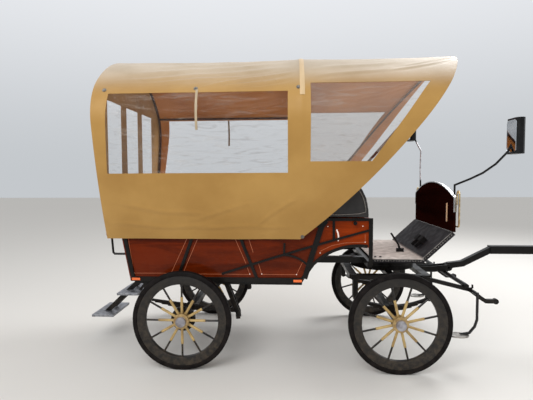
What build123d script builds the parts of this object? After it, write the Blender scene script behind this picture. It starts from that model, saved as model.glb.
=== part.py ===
from build123d import *
import math
import os

os.makedirs("parts", exist_ok=True)

# A horse drawn wagonette with a tarpaulin canopy, in millimetres.
# +X forward, +Y left, +Z up, origin on the ground under the middle of the whole length.
# Stations are distances forward of the rear axle.

# Driving dimensions: reach and running gear
pole_tip = 4940
step_rear = -1060
rear_axle_x = -(pole_tip + step_rear) / 2
wheelbase = 1834
track = 1500
wheel_d = 850
wheel_r = wheel_d / 2
tyre_w = 60
tyre_depth = 40
felloe_depth = 71
felloe_w = 52
spoke_count = 12
spoke_root_r = 12
spoke_tip_r = 9
spoke_sleeve = 204
hub_r = 58
hub_flange_r = 66
hub_cap_r = 42
hub_reach = 62
flange_out = 36
nave_half = 18
barrel_r = 48
drum_r = 105
stub_r = 20
shaft_gap = 0.3
axle_h = 50
leaf_t = 8
leaf_w = 50
hanger_t = 8
beam_w = leaf_w + 2 * hanger_t

# Driving dimensions: body
body_half = 605
panel_t = 18
frame_t = 15
body_rear = -490
body_front = 1030
body_bottom = 726
body_top = 1240
rear_lean = 10.8
rail_h = 40
box_front = 1610
box_top = 1290
post_bottom = 880
floor_t = 18
door_half = 250
door_top = 1075
door_t = 22

# Driving dimensions: underframe and turntable
beam_h = 40
beam_y = 500
front_beam_y = 360
front_beam_z = 860
front_beam_h = 55
foot_ahead = 236
ring_r = 300
ring_w = 40
ring_h = 44
ring_gap = 0.5
fore_frame_z = 730
king_pin_r = 18

# Driving dimensions: footboard and dash
foot_half = body_half - 50
foot_z = 930
foot_front = wheelbase + foot_ahead
toe_top = (foot_front + 250, 1166)
plate_t = 6
flange_h = 32
dash_half = foot_half + 5
dash_corner_z = 1460
dash_crown_z = 1590
dash_t = 20

# Driving dimensions: canopy section and outline
hem_z = 1110
hem_out = 29
side_flare = 258
side_bow = 23
shoulder_z = 2080
crown_z = 2766
crown_over = 196
canopy_rear = -690
canopy_front = 2420
front_hem = 1010
front_mid = (1765, 1835)
skin_t = 4
pane_t = 2
roof_drop = 316
window_drop = 120
hoop_t = 20
hoop_gap = 1
hoop_stations = (-670, 1020)

spring_seat = wheel_r + axle_h / 2


def side_plane(y):
    # local x is the station, local y is the height, the normal points right
    return Plane(origin=(rear_axle_x, y, 0), x_dir=(1, 0, 0), z_dir=(0, -1, 0))


def end_plane(station):
    # local x is the row's Y, local y is the height, the normal points forward
    return Plane(origin=(rear_axle_x + station, 0, 0), x_dir=(0, 1, 0), z_dir=(1, 0, 0))


def top_plane(z):
    # local x is the station, local y is the row's Y
    return Plane(origin=(rear_axle_x, 0, z), x_dir=(1, 0, 0), z_dir=(0, 0, 1))


def polar(centre, radius, degrees):
    a = math.radians(degrees)
    return (centre[0] + radius * math.cos(a), centre[1] + radius * math.sin(a))


def circle_through(a, b, c):
    # centre and radius of the circle through three points
    ax, ay, bx, by = a[0] - c[0], a[1] - c[1], b[0] - c[0], b[1] - c[1]
    d = 2 * (ax * by - ay * bx)
    ux = (by * (ax**2 + ay**2) - ay * (bx**2 + by**2)) / d
    uy = (ax * (bx**2 + by**2) - bx * (ax**2 + ay**2)) / d
    return (c[0] + ux, c[1] + uy), math.hypot(ux, uy)


# Canopy section: a bowed side, a shoulder arc and a crown arc, each tangent to the next
hem_half = body_half + hem_out
shoulder_half = hem_half + side_flare
roof_seam_z = crown_z - roof_drop
window_top = roof_seam_z - window_drop
side_chord = math.hypot(shoulder_half - hem_half, shoulder_z - hem_z)
side_r = side_chord**2 / (8 * side_bow) + side_bow / 2
chord_lean = math.degrees(math.atan2(shoulder_half - hem_half, shoulder_z - hem_z))
half_turn = math.degrees(math.asin(side_chord / 2 / side_r))
shoulder_angle = chord_lean - half_turn
hem_angle = chord_lean + half_turn
shoulder_rise = crown_z - crown_over - shoulder_z
shoulder_r = shoulder_rise / (1 + math.sin(math.radians(shoulder_angle)))
side_centre = polar((shoulder_half, shoulder_z), side_r, 180 - shoulder_angle)
shoulder_centre = polar((shoulder_half, shoulder_z), shoulder_r, 180 - shoulder_angle)
crown_rise = (
    shoulder_centre[0] ** 2 - (crown_z - shoulder_centre[1] - shoulder_r) ** 2
) / (2 * (crown_z - shoulder_centre[1] - shoulder_r))
crown_centre = (0, shoulder_centre[1] - crown_rise)
crown_r = crown_z - crown_centre[1]
crown_angle = math.degrees(math.atan2(shoulder_centre[1] - crown_centre[1], shoulder_centre[0]))


def section_points(inset):
    # points of the right half at this inset: hem, side middle, shoulder, shoulder middle, crown side
    return [
        polar(side_centre, side_r - inset, -hem_angle),
        polar(side_centre, side_r - inset, -(hem_angle + shoulder_angle) / 2),
        polar(side_centre, side_r - inset, -shoulder_angle),
        polar(shoulder_centre, shoulder_r - inset, (crown_angle - shoulder_angle) / 2),
        polar(crown_centre, crown_r - inset, crown_angle),
    ]


def canopy_line(inset):
    # the whole section as five tangent arcs, from the left hem over the crown to the right hem
    hem, side, shoulder, turn, crown = section_points(inset)
    left = [(-y, z) for y, z in (hem, side, shoulder, turn, crown)]
    ThreePointArc(left[0], left[1], left[2])
    ThreePointArc(left[2], left[3], left[4])
    ThreePointArc(left[4], (0, crown_z - inset), crown)
    ThreePointArc(crown, turn, shoulder)
    ThreePointArc(shoulder, side, hem)


# Wheels: rubber tyre, felloe with stepped spokes, hub with cap and flange
# The hub's nave has as many flats as spokes, and each spoke seats on its own flat
# name, station, side, first spoke's angle, brake drum
wheel_table = [
    ("rear_right", 0, -1, 0, True),
    ("rear_left", 0, 1, 0, True),
    ("front_right", wheelbase, -1, 13, False),
    ("front_left", wheelbase, 1, 13, False),
]
felloe_r = wheel_r - tyre_depth
felloe_in = felloe_r - felloe_depth
with BuildPart() as spoke:
    with BuildSketch(Plane.YZ.offset(hub_r)):
        RegularPolygon(spoke_root_r, 8)
    extrude(amount=spoke_sleeve - hub_r)
    with BuildSketch(Plane.YZ.offset(spoke_sleeve)):
        RegularPolygon(spoke_tip_r, 8)
    extrude(amount=felloe_in + 10 - spoke_sleeve)

for name, station, side, first_angle, drum in wheel_table:
    centre = (rear_axle_x + station, side * track / 2, wheel_r)
    half_plane = Plane(origin=centre, x_dir=(1, 0, 0), z_dir=(0, 0, side))
    spin = Axis(centre, (0, side, 0))
    wheel_plane = Plane(origin=centre, x_dir=(1, 0, 0), z_dir=(0, side, 0))

    with BuildPart() as tyre:
        with BuildSketch(half_plane):
            with BuildLine():
                Polyline(
                    (wheel_r, -tyre_w / 2 + 3),
                    (felloe_r, -tyre_w / 2),
                    (felloe_r, tyre_w / 2),
                    (wheel_r, tyre_w / 2 - 3),
                    close=True,
                )
            make_face()
        revolve(axis=spin)
    tyre.part.label = f"tyre_{name}"
    export_step(tyre.part, f"parts/tyre_{name}.step")

    with BuildPart(wheel_plane) as wheel:
        with BuildSketch(half_plane):
            with BuildLine():
                Polyline(
                    (felloe_r, -felloe_w / 2),
                    (felloe_r, felloe_w / 2),
                    (felloe_in, felloe_w / 2 - 6),
                    (felloe_in, -felloe_w / 2 + 6),
                    close=True,
                )
            make_face()
        revolve(axis=spin)
        with PolarLocations(0, spoke_count, start_angle=first_angle):
            add(spoke.part)
    wheel.part.label = f"wheel_{name}"
    export_step(wheel.part, f"parts/wheel_{name}.step")

    with BuildPart() as hub:
        with BuildSketch(half_plane):
            with BuildLine():
                Polyline(
                    (0, hub_reach),
                    (hub_cap_r, hub_reach),
                    (hub_cap_r, flange_out),
                    (hub_flange_r, flange_out),
                    (hub_flange_r, nave_half),
                    (barrel_r, nave_half),
                    (barrel_r, -hub_reach),
                    (stub_r + shaft_gap, -hub_reach),
                    (stub_r + shaft_gap, hub_reach - 20),
                    (0, hub_reach - 20),
                    close=True,
                )
            make_face()
            if drum:
                with Locations(((drum_r + barrel_r - 2) / 2, -48)):
                    Rectangle(drum_r - barrel_r + 2, 26)
        revolve(axis=spin)
        with BuildSketch(wheel_plane.offset(-flange_out)):
            RegularPolygon(hub_flange_r, spoke_count, False, first_angle + 180 / spoke_count)
            Circle(barrel_r - 6, mode=Mode.SUBTRACT)
        extrude(amount=flange_out - nave_half)
        with BuildSketch(wheel_plane.offset(-nave_half)):
            RegularPolygon(hub_r, spoke_count, False, first_angle + 180 / spoke_count)
            Circle(barrel_r - 6, mode=Mode.SUBTRACT)
        extrude(amount=2 * nave_half)
    hub.part.label = f"hub_{name}"
    export_step(hub.part, f"parts/hub_{name}.step")

# Axles: square beams with collars and turned stubs
beam_end = track / 2 - hub_reach - 30
for name, station in (("rear", 0), ("front", wheelbase)):
    with BuildPart(side_plane(0)) as axle:
        with Locations((station, wheel_r)):
            Box(axle_h, axle_h, 2 * beam_end)
            Cylinder(stub_r, track + 2 * (hub_reach - 24))
        with Locations((station, wheel_r, beam_end + 14), (station, wheel_r, -beam_end - 14)):
            Cylinder(stub_r + 10, 28)
    axle.part.label = f"axle_{name}"
    export_step(axle.part, f"parts/axle_{name}.step")

# Leaf springs: name, axle station, side offset, rear eye, front eye
rear_eye_back = (-370, 530)
rear_eye_front = (400, 450)
front_eye_back = (wheelbase - 325, 560)
front_eye_front = (wheelbase + 325, 560)
rear_spring_y = 500
front_spring_y = 450
eye_r = 20
clamp_len = 90
bolt_w = 26
bolt_past = 17
spring_table = [
    ("rear", 0, rear_spring_y, rear_eye_back, rear_eye_front),
    ("front", wheelbase, front_spring_y, front_eye_back, front_eye_front),
]
leaf_count = 5
pack_h = leaf_count * leaf_t
for name, station, spring_y, back_eye, front_eye in spring_table:
    seat = (station, spring_seat + pack_h - leaf_t / 2)
    centre, radius = circle_through(back_eye, seat, front_eye)
    back, middle, front = [
        math.degrees(math.atan2(p[1] - centre[1], p[0] - centre[0]))
        for p in (back_eye, seat, front_eye)
    ]
    with BuildPart() as springs:
        for y in (-spring_y, spring_y):
            with BuildSketch(side_plane(y)):
                for leaf in range(leaf_count):
                    keep = 1 - leaf / (leaf_count + 1)
                    leaf_r = radius + leaf * leaf_t
                    with BuildLine():
                        leaf_line = ThreePointArc(
                            polar(centre, leaf_r, middle + (back - middle) * keep),
                            polar(centre, leaf_r, middle),
                            polar(centre, leaf_r, middle + (front - middle) * keep),
                        )
                    trace(leaf_line, line_width=leaf_t + 0.2)
                with Locations(back_eye, front_eye):
                    RegularPolygon(eye_r, 12)
            extrude(amount=leaf_w / 2, both=True)
            with BuildSketch(side_plane(y)):
                with Locations((station, spring_seat + pack_h / 2)):
                    Rectangle(clamp_len, pack_h)
                    Rectangle(bolt_w, pack_h + 2 * bolt_past)
            extrude(amount=leaf_w / 2 + 10, both=True)
            with BuildSketch(side_plane(y)):
                with Locations((station, wheel_r)):
                    Rectangle(axle_h, axle_h)
            extrude(amount=leaf_w, both=True, mode=Mode.SUBTRACT)
    springs.part.label = f"springs_{name}"
    export_step(springs.part, f"parts/springs_{name}.step")

# Underframe: side members that kick up over the turning front wheels, with cross members
cut_under = [(1030, 726), (1187, 925), (1372, 1012), (1590, 1033)]
kick_top = 1165
member_z = body_bottom - beam_h / 2
rear_hangers = [
    [rear_eye_back, (-395, member_z)],
    [(345, member_z), (400, 560), (452, 430), (456, 372)],
]
cross_stations = (body_rear + 33, 300, 700, 997)
front_cross_stations = (kick_top + 20, wheelbase, foot_front - 40)

with BuildPart() as chassis:
    with BuildSketch(top_plane(member_z - beam_h / 2)):
        middle = (body_rear + body_front) / 2
        with Locations((middle, beam_y), (middle, -beam_y)):
            Rectangle(body_front - body_rear, beam_w)
        with Locations([(x, 0) for x in cross_stations]):
            Rectangle(beam_w, 2 * beam_y)
    extrude(amount=beam_h)
    for side in (-1, 1):
        for face in (-1, 1):
            with BuildSketch(side_plane(side * rear_spring_y + face * (leaf_w + hanger_t) / 2)):
                for hanger in rear_hangers:
                    with BuildLine():
                        drop = Polyline(*hanger)
                    trace(drop, line_width=40)
                with BuildLine():
                    link = Line(rear_eye_front, (446, 448))
                trace(link, line_width=36)
                with Locations(rear_eye_back, rear_eye_front):
                    RegularPolygon(eye_r, 12)
            extrude(amount=hanger_t / 2, both=True)
chassis.part.label = "chassis"
export_step(chassis.part, "parts/chassis.step")

# Raised front members over the turning wheels, welded to the front cross member
with BuildPart() as front_members:
    for y in (-front_beam_y, front_beam_y):
        with BuildSketch(side_plane(y)):
            with BuildLine():
                kick = Polyline(
                    (body_front - 25, member_z),
                    (body_front, member_z),
                    (kick_top, front_beam_z + front_beam_h - beam_h / 2),
                    (kick_top + 30, front_beam_z + front_beam_h - beam_h / 2),
                )
            trace(kick, line_width=beam_h)
            with Locations((body_front - 50, member_z)):
                Rectangle(100, 3 * beam_h, mode=Mode.SUBTRACT)
        extrude(amount=beam_w / 2, both=True)
    with BuildSketch(top_plane(front_beam_z)):
        middle = (kick_top + foot_front) / 2
        with Locations((middle, front_beam_y), (middle, -front_beam_y)):
            Rectangle(foot_front - kick_top, beam_w)
        with Locations([(x, 0) for x in front_cross_stations]):
            Rectangle(beam_w, 2 * front_beam_y)
        with Locations((box_front + 3, 0)):
            Rectangle(40, 2 * body_half - 2 * frame_t)
    extrude(amount=front_beam_h)
front_members.part.label = "front_members"
export_step(front_members.part, "parts/front_members.step")

# Turntable: the upper ring, its cross plate and the king pin hang under the front members
ring_split = front_beam_z - ring_h
with BuildPart() as turntable:
    with BuildSketch(top_plane(ring_split)):
        with Locations((wheelbase, 0)):
            Circle(ring_r)
            Circle(ring_r - ring_w, mode=Mode.SUBTRACT)
            Rectangle(2 * ring_r - ring_w, 60)
            RegularPolygon(70, 12)
    extrude(amount=ring_h)
    with BuildSketch(top_plane(fore_frame_z - 20)):
        with Locations((wheelbase, 0)):
            Circle(king_pin_r)
    extrude(amount=ring_split - fore_frame_z + 20)
turntable.part.label = "turntable"
export_step(turntable.part, "parts/turntable.step")

# Forecarriage frame: two side beams, cross members, arms to the shaft eyes, splinter bar
arm_y = 480
arm_d = 34
# ahead of the front axle, height
arm_bends = [(256, 752), (666, 650), (766, 575), (806, 548), (891, 547)]
arm_route = [(wheelbase + ahead, z) for ahead, z in arm_bends]
eye_hole_r = 9
splinter = (wheelbase + 621, 694)
splinter_r = 19
hook_t = 12
hook_ys = (-500, -110, 110, 500)
socket_y = 45
pole_hinge = (wheelbase + 644, 750)
pole_pin_r = 12
cheek_bend = pole_hinge[0] - 148
fore_rear = wheelbase - 364
fore_front = wheelbase + 326

with BuildPart() as fore_frame:
    with BuildSketch(top_plane(fore_frame_z)):
        middle = (fore_rear + fore_front) / 2
        with Locations((middle, front_spring_y), (middle, -front_spring_y)):
            Rectangle(fore_front - fore_rear, beam_w)
        with Locations((fore_rear + 20, 0), (wheelbase, 0), (fore_front - 20, 0)):
            Rectangle(beam_w, 2 * front_spring_y)
        with Locations((wheelbase, 0)):
            RegularPolygon(80, 12)
            Circle(king_pin_r + shaft_gap, mode=Mode.SUBTRACT)
    extrude(amount=beam_h)
    for side in (-1, 1):
        for face in (-1, 1):
            y = side * front_spring_y + face * (leaf_w / 2 + hanger_t / 2)
            with BuildSketch(side_plane(y)):
                for eye in (front_eye_back, front_eye_front):
                    with BuildLine():
                        drop = Line(eye, (eye[0], fore_frame_z + 5))
                    trace(drop, line_width=44)
                    with Locations(eye):
                        RegularPolygon(22, 12)
            extrude(amount=hanger_t / 2, both=True)
        with BuildSketch(side_plane(side * arm_y)):
            with BuildLine():
                arm = Polyline(*arm_route)
            trace(arm, line_width=arm_d)
            with Locations(arm_route[-1]):
                RegularPolygon(24, 16)
                Circle(eye_hole_r, mode=Mode.SUBTRACT)
        extrude(amount=arm_d / 2, both=True)
        with BuildSketch(side_plane(side * socket_y)):
            with BuildLine():
                cheek = Polyline((fore_front - 30, 735), (cheek_bend, 735), pole_hinge)
            trace(cheek, line_width=56)
            with Locations(pole_hinge):
                RegularPolygon(34, 16)
                Circle(pole_pin_r, mode=Mode.SUBTRACT)
        extrude(amount=6, both=True)
    with BuildSketch(side_plane(0)):
        with Locations(splinter):
            RegularPolygon(splinter_r, 12)
    extrude(amount=arm_y + 60, both=True)
    for y in hook_ys:
        with BuildSketch(side_plane(y)):
            with BuildLine():
                hook = Polyline(
                    (splinter[0], splinter[1] - 10),
                    (splinter[0] + 42, splinter[1] - 34),
                    (splinter[0] + 64, splinter[1] - 22),
                    (splinter[0] + 62, splinter[1] + 4),
                )
            trace(hook, line_width=hook_t)
        extrude(amount=hook_t / 2, both=True)
    with BuildSketch(side_plane(0)):
        with Locations((cheek_bend, 722)):
            Rectangle(50, 20)
    extrude(amount=socket_y + 6, both=True)
    with BuildSketch(top_plane(ring_split - ring_gap)):
        with Locations((wheelbase, 0)):
            Circle(ring_r)
            Circle(ring_r - ring_w, mode=Mode.SUBTRACT)
            Rectangle(2 * ring_r - ring_w, 70)
            RegularPolygon(80, 12)
            Circle(king_pin_r + shaft_gap, mode=Mode.SUBTRACT)
    extrude(amount=-(ring_split - ring_gap - fore_frame_z - beam_h))
fore_frame.part.label = "fore_frame"
export_step(fore_frame.part, "parts/fore_frame.step")

# Driver's steps: bent tube legs with an oval tread, one each side of the forecarriage
step_y = 600
step_x = arm_route[1][0] + 20
step_root_z = arm_route[1][1] - 10
step_z = 290
with BuildPart() as driver_steps:
    for side in (-1, 1):
        with BuildLine(side_plane(side * step_y)) as leg:
            Polyline(
                (step_x, step_root_z + 14),
                (step_x, 420),
                (step_x - 18, 360),
                (step_x - 62, step_z + 14),
                (step_x - 140, step_z),
            )
        with BuildSketch(Plane(origin=leg.line @ 0, z_dir=leg.line % 0)):
            RegularPolygon(12, 8)
        sweep(path=leg.line, transition=Transition.RIGHT)
        with BuildSketch(side_plane(side * step_y)):
            with Locations((step_x, step_root_z)):
                RegularPolygon(15, 8)
        extrude(amount=side * (step_y - arm_y - arm_d / 2))
        with BuildSketch(top_plane(step_z - 10)):
            with Locations((step_x - 155, side * (step_y + 10))):
                Ellipse(85, 60)
                with GridLocations(0, 27, 1, 4):
                    Rectangle(70, 9, mode=Mode.SUBTRACT)
        extrude(amount=12)
driver_steps.part.label = "driver_steps"
export_step(driver_steps.part, "parts/driver_steps.step")

# Pole: steel hinge bar that rises in front of the dash, then a long tapered wooden pole
pole_z = 925
pole_half = 34
iron_half = pole_half + 4
iron_level = pole_hinge[0] + 400
pole_start = pole_hinge[0] + 972
iron_end = pole_start + 160
# ahead of the hinge, height
iron_bends = [(0, 765), (142, 785), (412, pole_z), (492, pole_z)]
pole_socket = [(pole_hinge[0] + ahead, z) for ahead, z in iron_bends]
tip_half = 32
tip_hole_r = 12
with BuildPart() as pole_iron:
    with BuildSketch(side_plane(0)):
        with BuildLine():
            iron = Polyline(*pole_socket)
        trace(iron, line_width=56)
        with Locations(pole_hinge):
            RegularPolygon(30, 16)
            Circle(pole_pin_r + shaft_gap, mode=Mode.SUBTRACT)
    extrude(amount=27, both=True)
    with BuildSketch(side_plane(0)):
        with Locations(((iron_level + iron_end) / 2, pole_z)):
            Rectangle(iron_end - iron_level, 2 * iron_half)
    extrude(amount=iron_half, both=True)
    with BuildSketch(side_plane(0)):
        with Locations(((pole_start + iron_end) / 2, pole_z)):
            Rectangle(iron_end - pole_start, 2 * pole_half)
    extrude(amount=pole_half, both=True, mode=Mode.SUBTRACT)
pole_iron.part.label = "pole_iron"
export_step(pole_iron.part, "parts/pole_iron.step")

with BuildPart() as pole:
    with BuildSketch(end_plane(pole_start)):
        with Locations((0, pole_z)):
            RectangleRounded(2 * pole_half, 2 * pole_half, 12)
    with BuildSketch(end_plane(pole_tip - 60)):
        with Locations((0, pole_z)):
            RectangleRounded(2 * tip_half, 2 * tip_half, 12)
    loft()
pole.part.label = "pole"
export_step(pole.part, "parts/pole.step")

with BuildPart() as pole_tip_ferrule:
    with BuildSketch(side_plane(0)):
        with Locations((pole_tip - 40, pole_z)):
            Rectangle(40, 2 * tip_half + 6)
        with Locations((pole_tip - 45, pole_z)):
            SlotOverall(90, 40)
    extrude(amount=tip_half - 4, both=True)
    with BuildSketch(side_plane(0)):
        with Locations((pole_tip - 20, pole_z)):
            Circle(tip_hole_r)
    extrude(amount=tip_half, both=True, mode=Mode.SUBTRACT)
    with BuildSketch(end_plane(pole_tip - 160)):
        with Locations((0, pole_z)):
            Rectangle(2 * tip_half + 10, 2 * tip_half + 10)
    extrude(amount=100, mode=Mode.SUBTRACT)
pole_tip_ferrule.part.label = "pole_ferrule"
export_step(pole_tip_ferrule.part, "parts/pole_ferrule.step")

# Floor of the passenger space and the curved board over the turning wheels
inner_half = body_half - frame_t - panel_t
floor_rear = body_rear + door_t + 2
floor_front = body_front - 30
with BuildPart() as floor:
    with BuildSketch(top_plane(body_bottom)):
        with Locations(((floor_rear + floor_front) / 2, 0)):
            Rectangle(floor_front - floor_rear, 2 * inner_half)
    extrude(amount=floor_t)
floor.part.label = "floor"
export_step(floor.part, "parts/floor.step")

arch_t = 12
arch_low, arch_mid, _, arch_high = cut_under
with BuildPart() as arch_board:
    with BuildSketch(side_plane(0)):
        with BuildLine():
            arch = ThreePointArc(
                (floor_front + 2, body_bottom + floor_t + 8),
                (arch_mid[0] - 20, arch_mid[1] + 20),
                (box_front - 30, arch_high[1] + 16),
            )
        trace(arch, line_width=arch_t)
    extrude(amount=inner_half, both=True)
arch_board.part.label = "arch_board"
export_step(arch_board.part, "parts/arch_board.step")

# Body sides: varnished board with a leaning rear edge and the cut-under curve in front
lean = math.tan(math.radians(rear_lean))
rear_top = body_rear - (body_top - body_bottom) * lean
seat_step = 1180
for name, side in (("right", -1), ("left", 1)):
    outer = body_half - frame_t
    with BuildPart() as side_panel:
        with BuildSketch(side_plane(side * outer)):
            with BuildLine():
                Line((body_rear, body_bottom), cut_under[0])
                ThreePointArc(cut_under[0], cut_under[1], cut_under[3])
                Polyline(
                    cut_under[3],
                    (box_front, cut_under[3][1]),
                    (box_front, box_top - 14),
                    (seat_step, box_top - 14),
                    (seat_step, body_top),
                    (rear_top, body_top),
                    (body_rear, body_bottom),
                )
            make_face()
        extrude(amount=side * panel_t)
    side_panel.part.label = f"side_panel_{name}"
    export_step(side_panel.part, f"parts/side_panel_{name}.step")

# Steel frame on the outside of each body side
# run of points, bar width
frame_bars = [
    ([(body_rear + 18, body_bottom), (rear_top + 18, body_top)], 34),
    ([(40, 1060), (-80, body_bottom + 10)], 26),
    ([(510, 1060), (640, body_bottom + 10)], 26),
    ([(40, 1060), (100, body_top)], 26),
    ([(510, 1060), (450, body_top)], 26),
    ([(1236, box_top - 20), (1196, 1217), (1109, 951), (1050, 760)], 46),
    ([(870, 960), (875, 1070)], 16),
    ([(1301, 1090), (1301, box_top - 20)], 20),
]
# start, middle, end, bar width
frame_arcs = [
    ((322, 795), (851, 964), (1600, 1184), 18),
    ((851, 966), (965, 950), (1072, 882), 16),
]
for name, side in (("right", -1), ("left", 1)):
    with BuildPart() as side_frame:
        with BuildSketch(side_plane(side * (body_half - frame_t))):
            for run, width in frame_bars:
                with BuildLine():
                    bar = Polyline(*run)
                trace(bar, line_width=width)
            for start, middle, end, width in frame_arcs:
                with BuildLine():
                    curve = ThreePointArc(start, middle, end)
                trace(curve, line_width=width)
            with BuildLine():
                hoop = ThreePointArc(
                    (cut_under[0][0] - 14, cut_under[0][1]),
                    (cut_under[1][0] - 8, cut_under[1][1] + 10),
                    (cut_under[3][0], cut_under[3][1] + 12),
                )
            trace(hoop, line_width=26)
            with Locations(((body_rear + body_front) / 2, body_bottom + rail_h / 2 - 2)):
                Rectangle(body_front - body_rear, rail_h)
            with Locations(((rear_top + 8 + seat_step) / 2, body_top - 15)):
                Rectangle(seat_step - rear_top - 8, 30)
            with Locations(((seat_step + box_front) / 2, box_top - 12)):
                Rectangle(box_front - seat_step + 20, 24)
            with Locations((box_front + 8, (post_bottom + box_top) / 2)):
                Rectangle(34, box_top - post_bottom)
        extrude(amount=-side * frame_t)
    side_frame.part.label = f"side_frame_{name}"
    export_step(side_frame.part, f"parts/side_frame_{name}.step")

# Rear wall: two fixed corner panels in the leaning rear plane, and the door between them
rear_plane = Plane(
    origin=(rear_axle_x + body_rear, 0, body_bottom),
    x_dir=(0, -1, 0),
    z_dir=(-math.cos(math.radians(rear_lean)), 0, -math.sin(math.radians(rear_lean))),
)
wall_h = (body_top - body_bottom) / math.cos(math.radians(rear_lean))
door_low = 26
door_high = (door_top - body_bottom) / math.cos(math.radians(rear_lean))
door_gap = 6
post_w = 40
post_t = 8
hinge_len = 80
hinge_heights = (door_low + 70, door_high - 70)
knuckle_r = 5.5
knuckle_out = post_t + knuckle_r + 0.5
knuckle_plane = Plane(
    origin=rear_plane.from_local_coords((-door_half + door_gap / 2, 0, knuckle_out)),
    x_dir=(0, -1, 0),
    z_dir=(-math.sin(math.radians(rear_lean)), 0, math.cos(math.radians(rear_lean))),
)
with BuildPart() as rear_wall:
    with BuildSketch(rear_plane):
        for side in (-1, 1):
            with Locations((side * (door_half + inner_half) / 2, door_high / 2)):
                Rectangle(inner_half - door_half, door_high)
        with Locations((0, 10)):
            Rectangle(2 * inner_half, 20)
    extrude(amount=-door_t)
    with BuildSketch(rear_plane):
        for side in (-1, 1):
            with Locations((side * (door_half + post_w / 2), door_high / 2)):
                Rectangle(post_w, door_high)
            with Locations((side * (inner_half + panel_t + frame_t - post_w / 2), wall_h / 2)):
                Rectangle(post_w, wall_h)
    extrude(amount=post_t)
    for height in hinge_heights:
        for offset in (-hinge_len / 2, hinge_len / 2):
            with BuildSketch(rear_plane.offset(post_t)):
                with Locations((-door_half - 16, height + offset)):
                    Rectangle(38, hinge_len / 2 - 1)
            extrude(amount=4)
    for height in hinge_heights:
        for offset in (-hinge_len / 2, hinge_len / 2):
            with BuildSketch(knuckle_plane.offset(height + offset - hinge_len / 4 + 0.5)):
                Circle(knuckle_r)
            extrude(amount=hinge_len / 2 - 1)
rear_wall.part.label = "rear_wall"
export_step(rear_wall.part, "parts/rear_wall.step")

with BuildPart() as rear_door:
    with BuildSketch(rear_plane):
        with Locations((0, (door_low + door_high) / 2)):
            Rectangle(2 * (door_half - door_gap), door_high - door_low)
    extrude(amount=-door_t)
    with BuildSketch(rear_plane):
        with Locations((0, (door_low + door_high) / 2)):
            Rectangle(2 * (door_half - door_gap), door_high - door_low)
            Rectangle(2 * (door_half - door_gap) - 60, door_high - door_low - 60, mode=Mode.SUBTRACT)
    extrude(amount=6)
    with BuildSketch(rear_plane):
        with Locations((door_half - 60, door_high - 70)):
            SlotOverall(90, 20)
    extrude(amount=26)
    with BuildSketch(rear_plane.offset(6)):
        with Locations([(-door_half + 36, height) for height in hinge_heights]):
            Rectangle(66, hinge_len / 2 - 1)
    extrude(amount=6)
    for height in hinge_heights:
        with BuildSketch(knuckle_plane.offset(height - hinge_len / 4 + 0.5)):
            Circle(knuckle_r)
        extrude(amount=hinge_len / 2 - 1)
rear_door.part.label = "rear_door"
export_step(rear_door.part, "parts/rear_door.step")

# Passenger benches along both sides: board, front board, seat cushion, back cushion
bench_z = 1090
bench_rear = body_rear - 10
bench_front = 1080
bench_deep = 330
bench_t = 18
cushion_t = 75
edge = inner_half - 2
bench_mid = (bench_rear + bench_front) / 2
with BuildPart() as benches:
    for side in (-1, 1):
        with BuildSketch(top_plane(bench_z)):
            with Locations((bench_mid, side * (edge - bench_deep / 2))):
                Rectangle(bench_front - bench_rear, bench_deep)
        extrude(amount=-bench_t)
        with BuildSketch(top_plane(body_bottom + floor_t)):
            with Locations(((bench_rear + floor_front) / 2 + 15, side * (edge - bench_deep + 40))):
                Rectangle(floor_front - bench_rear - 90, 16)
        extrude(amount=bench_z - bench_t - body_bottom - floor_t)
benches.part.label = "benches"
export_step(benches.part, "parts/benches.step")

with BuildPart() as bench_cushions:
    for side in (-1, 1):
        with BuildSketch(top_plane(bench_z)):
            with Locations((bench_mid, side * (edge - bench_deep / 2))):
                Rectangle(bench_front - bench_rear - 10, bench_deep)
        extrude(amount=cushion_t)
    chamfer(bench_cushions.edges().group_by(Axis.Z)[-1], 14)
bench_cushions.part.label = "bench_cushions"
export_step(bench_cushions.part, "parts/bench_cushions.step")

back_low = bench_z + cushion_t + 5
back_high = bench_z + 330
with BuildPart() as bench_backs:
    for side in (-1, 1):
        with BuildSketch(end_plane(bench_rear + 20)):
            with BuildLine():
                Polyline(
                    (side * edge, back_low),
                    (side * (edge - 60), back_low),
                    (side * (edge - 30), back_high),
                    (side * (edge + 15), back_high),
                    (side * (edge + 10), body_top + 5),
                    (side * edge, body_top + 5),
                    close=True,
                )
            make_face()
        extrude(amount=bench_front - bench_rear - 40)
    chamfer(bench_backs.edges().filter_by(Axis.X).group_by(Axis.Z)[-1], 12)
bench_backs.part.label = "bench_backs"
export_step(bench_backs.part, "parts/bench_backs.step")

# Driver's box and seat
seat_back_x = 1140
with BuildPart() as seat_box:
    with BuildSketch(side_plane(0)):
        with Locations((box_front - 8, (arch_high[1] + 30 + box_top - 18) / 2)):
            Rectangle(16, box_top - 18 - arch_high[1] - 30)
        with Locations(((seat_back_x + box_front) / 2, box_top - 9)):
            Rectangle(box_front - seat_back_x, 18)
        with Locations((seat_back_x + 9, (960 + box_top) / 2)):
            Rectangle(18, box_top - 960)
    extrude(amount=inner_half, both=True)
seat_box.part.label = "seat_box"
export_step(seat_box.part, "parts/seat_box.step")

with BuildPart() as driver_cushion:
    with BuildSketch(top_plane(box_top)):
        with Locations(((seat_back_x + 80 + box_front - 20) / 2, 0)):
            Rectangle(box_front - 20 - seat_back_x - 80, 2 * 540)
    extrude(amount=110)
    chamfer(driver_cushion.edges().group_by(Axis.Z)[-1], 20)
driver_cushion.part.label = "driver_cushion"
export_step(driver_cushion.part, "parts/driver_cushion.step")

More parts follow.
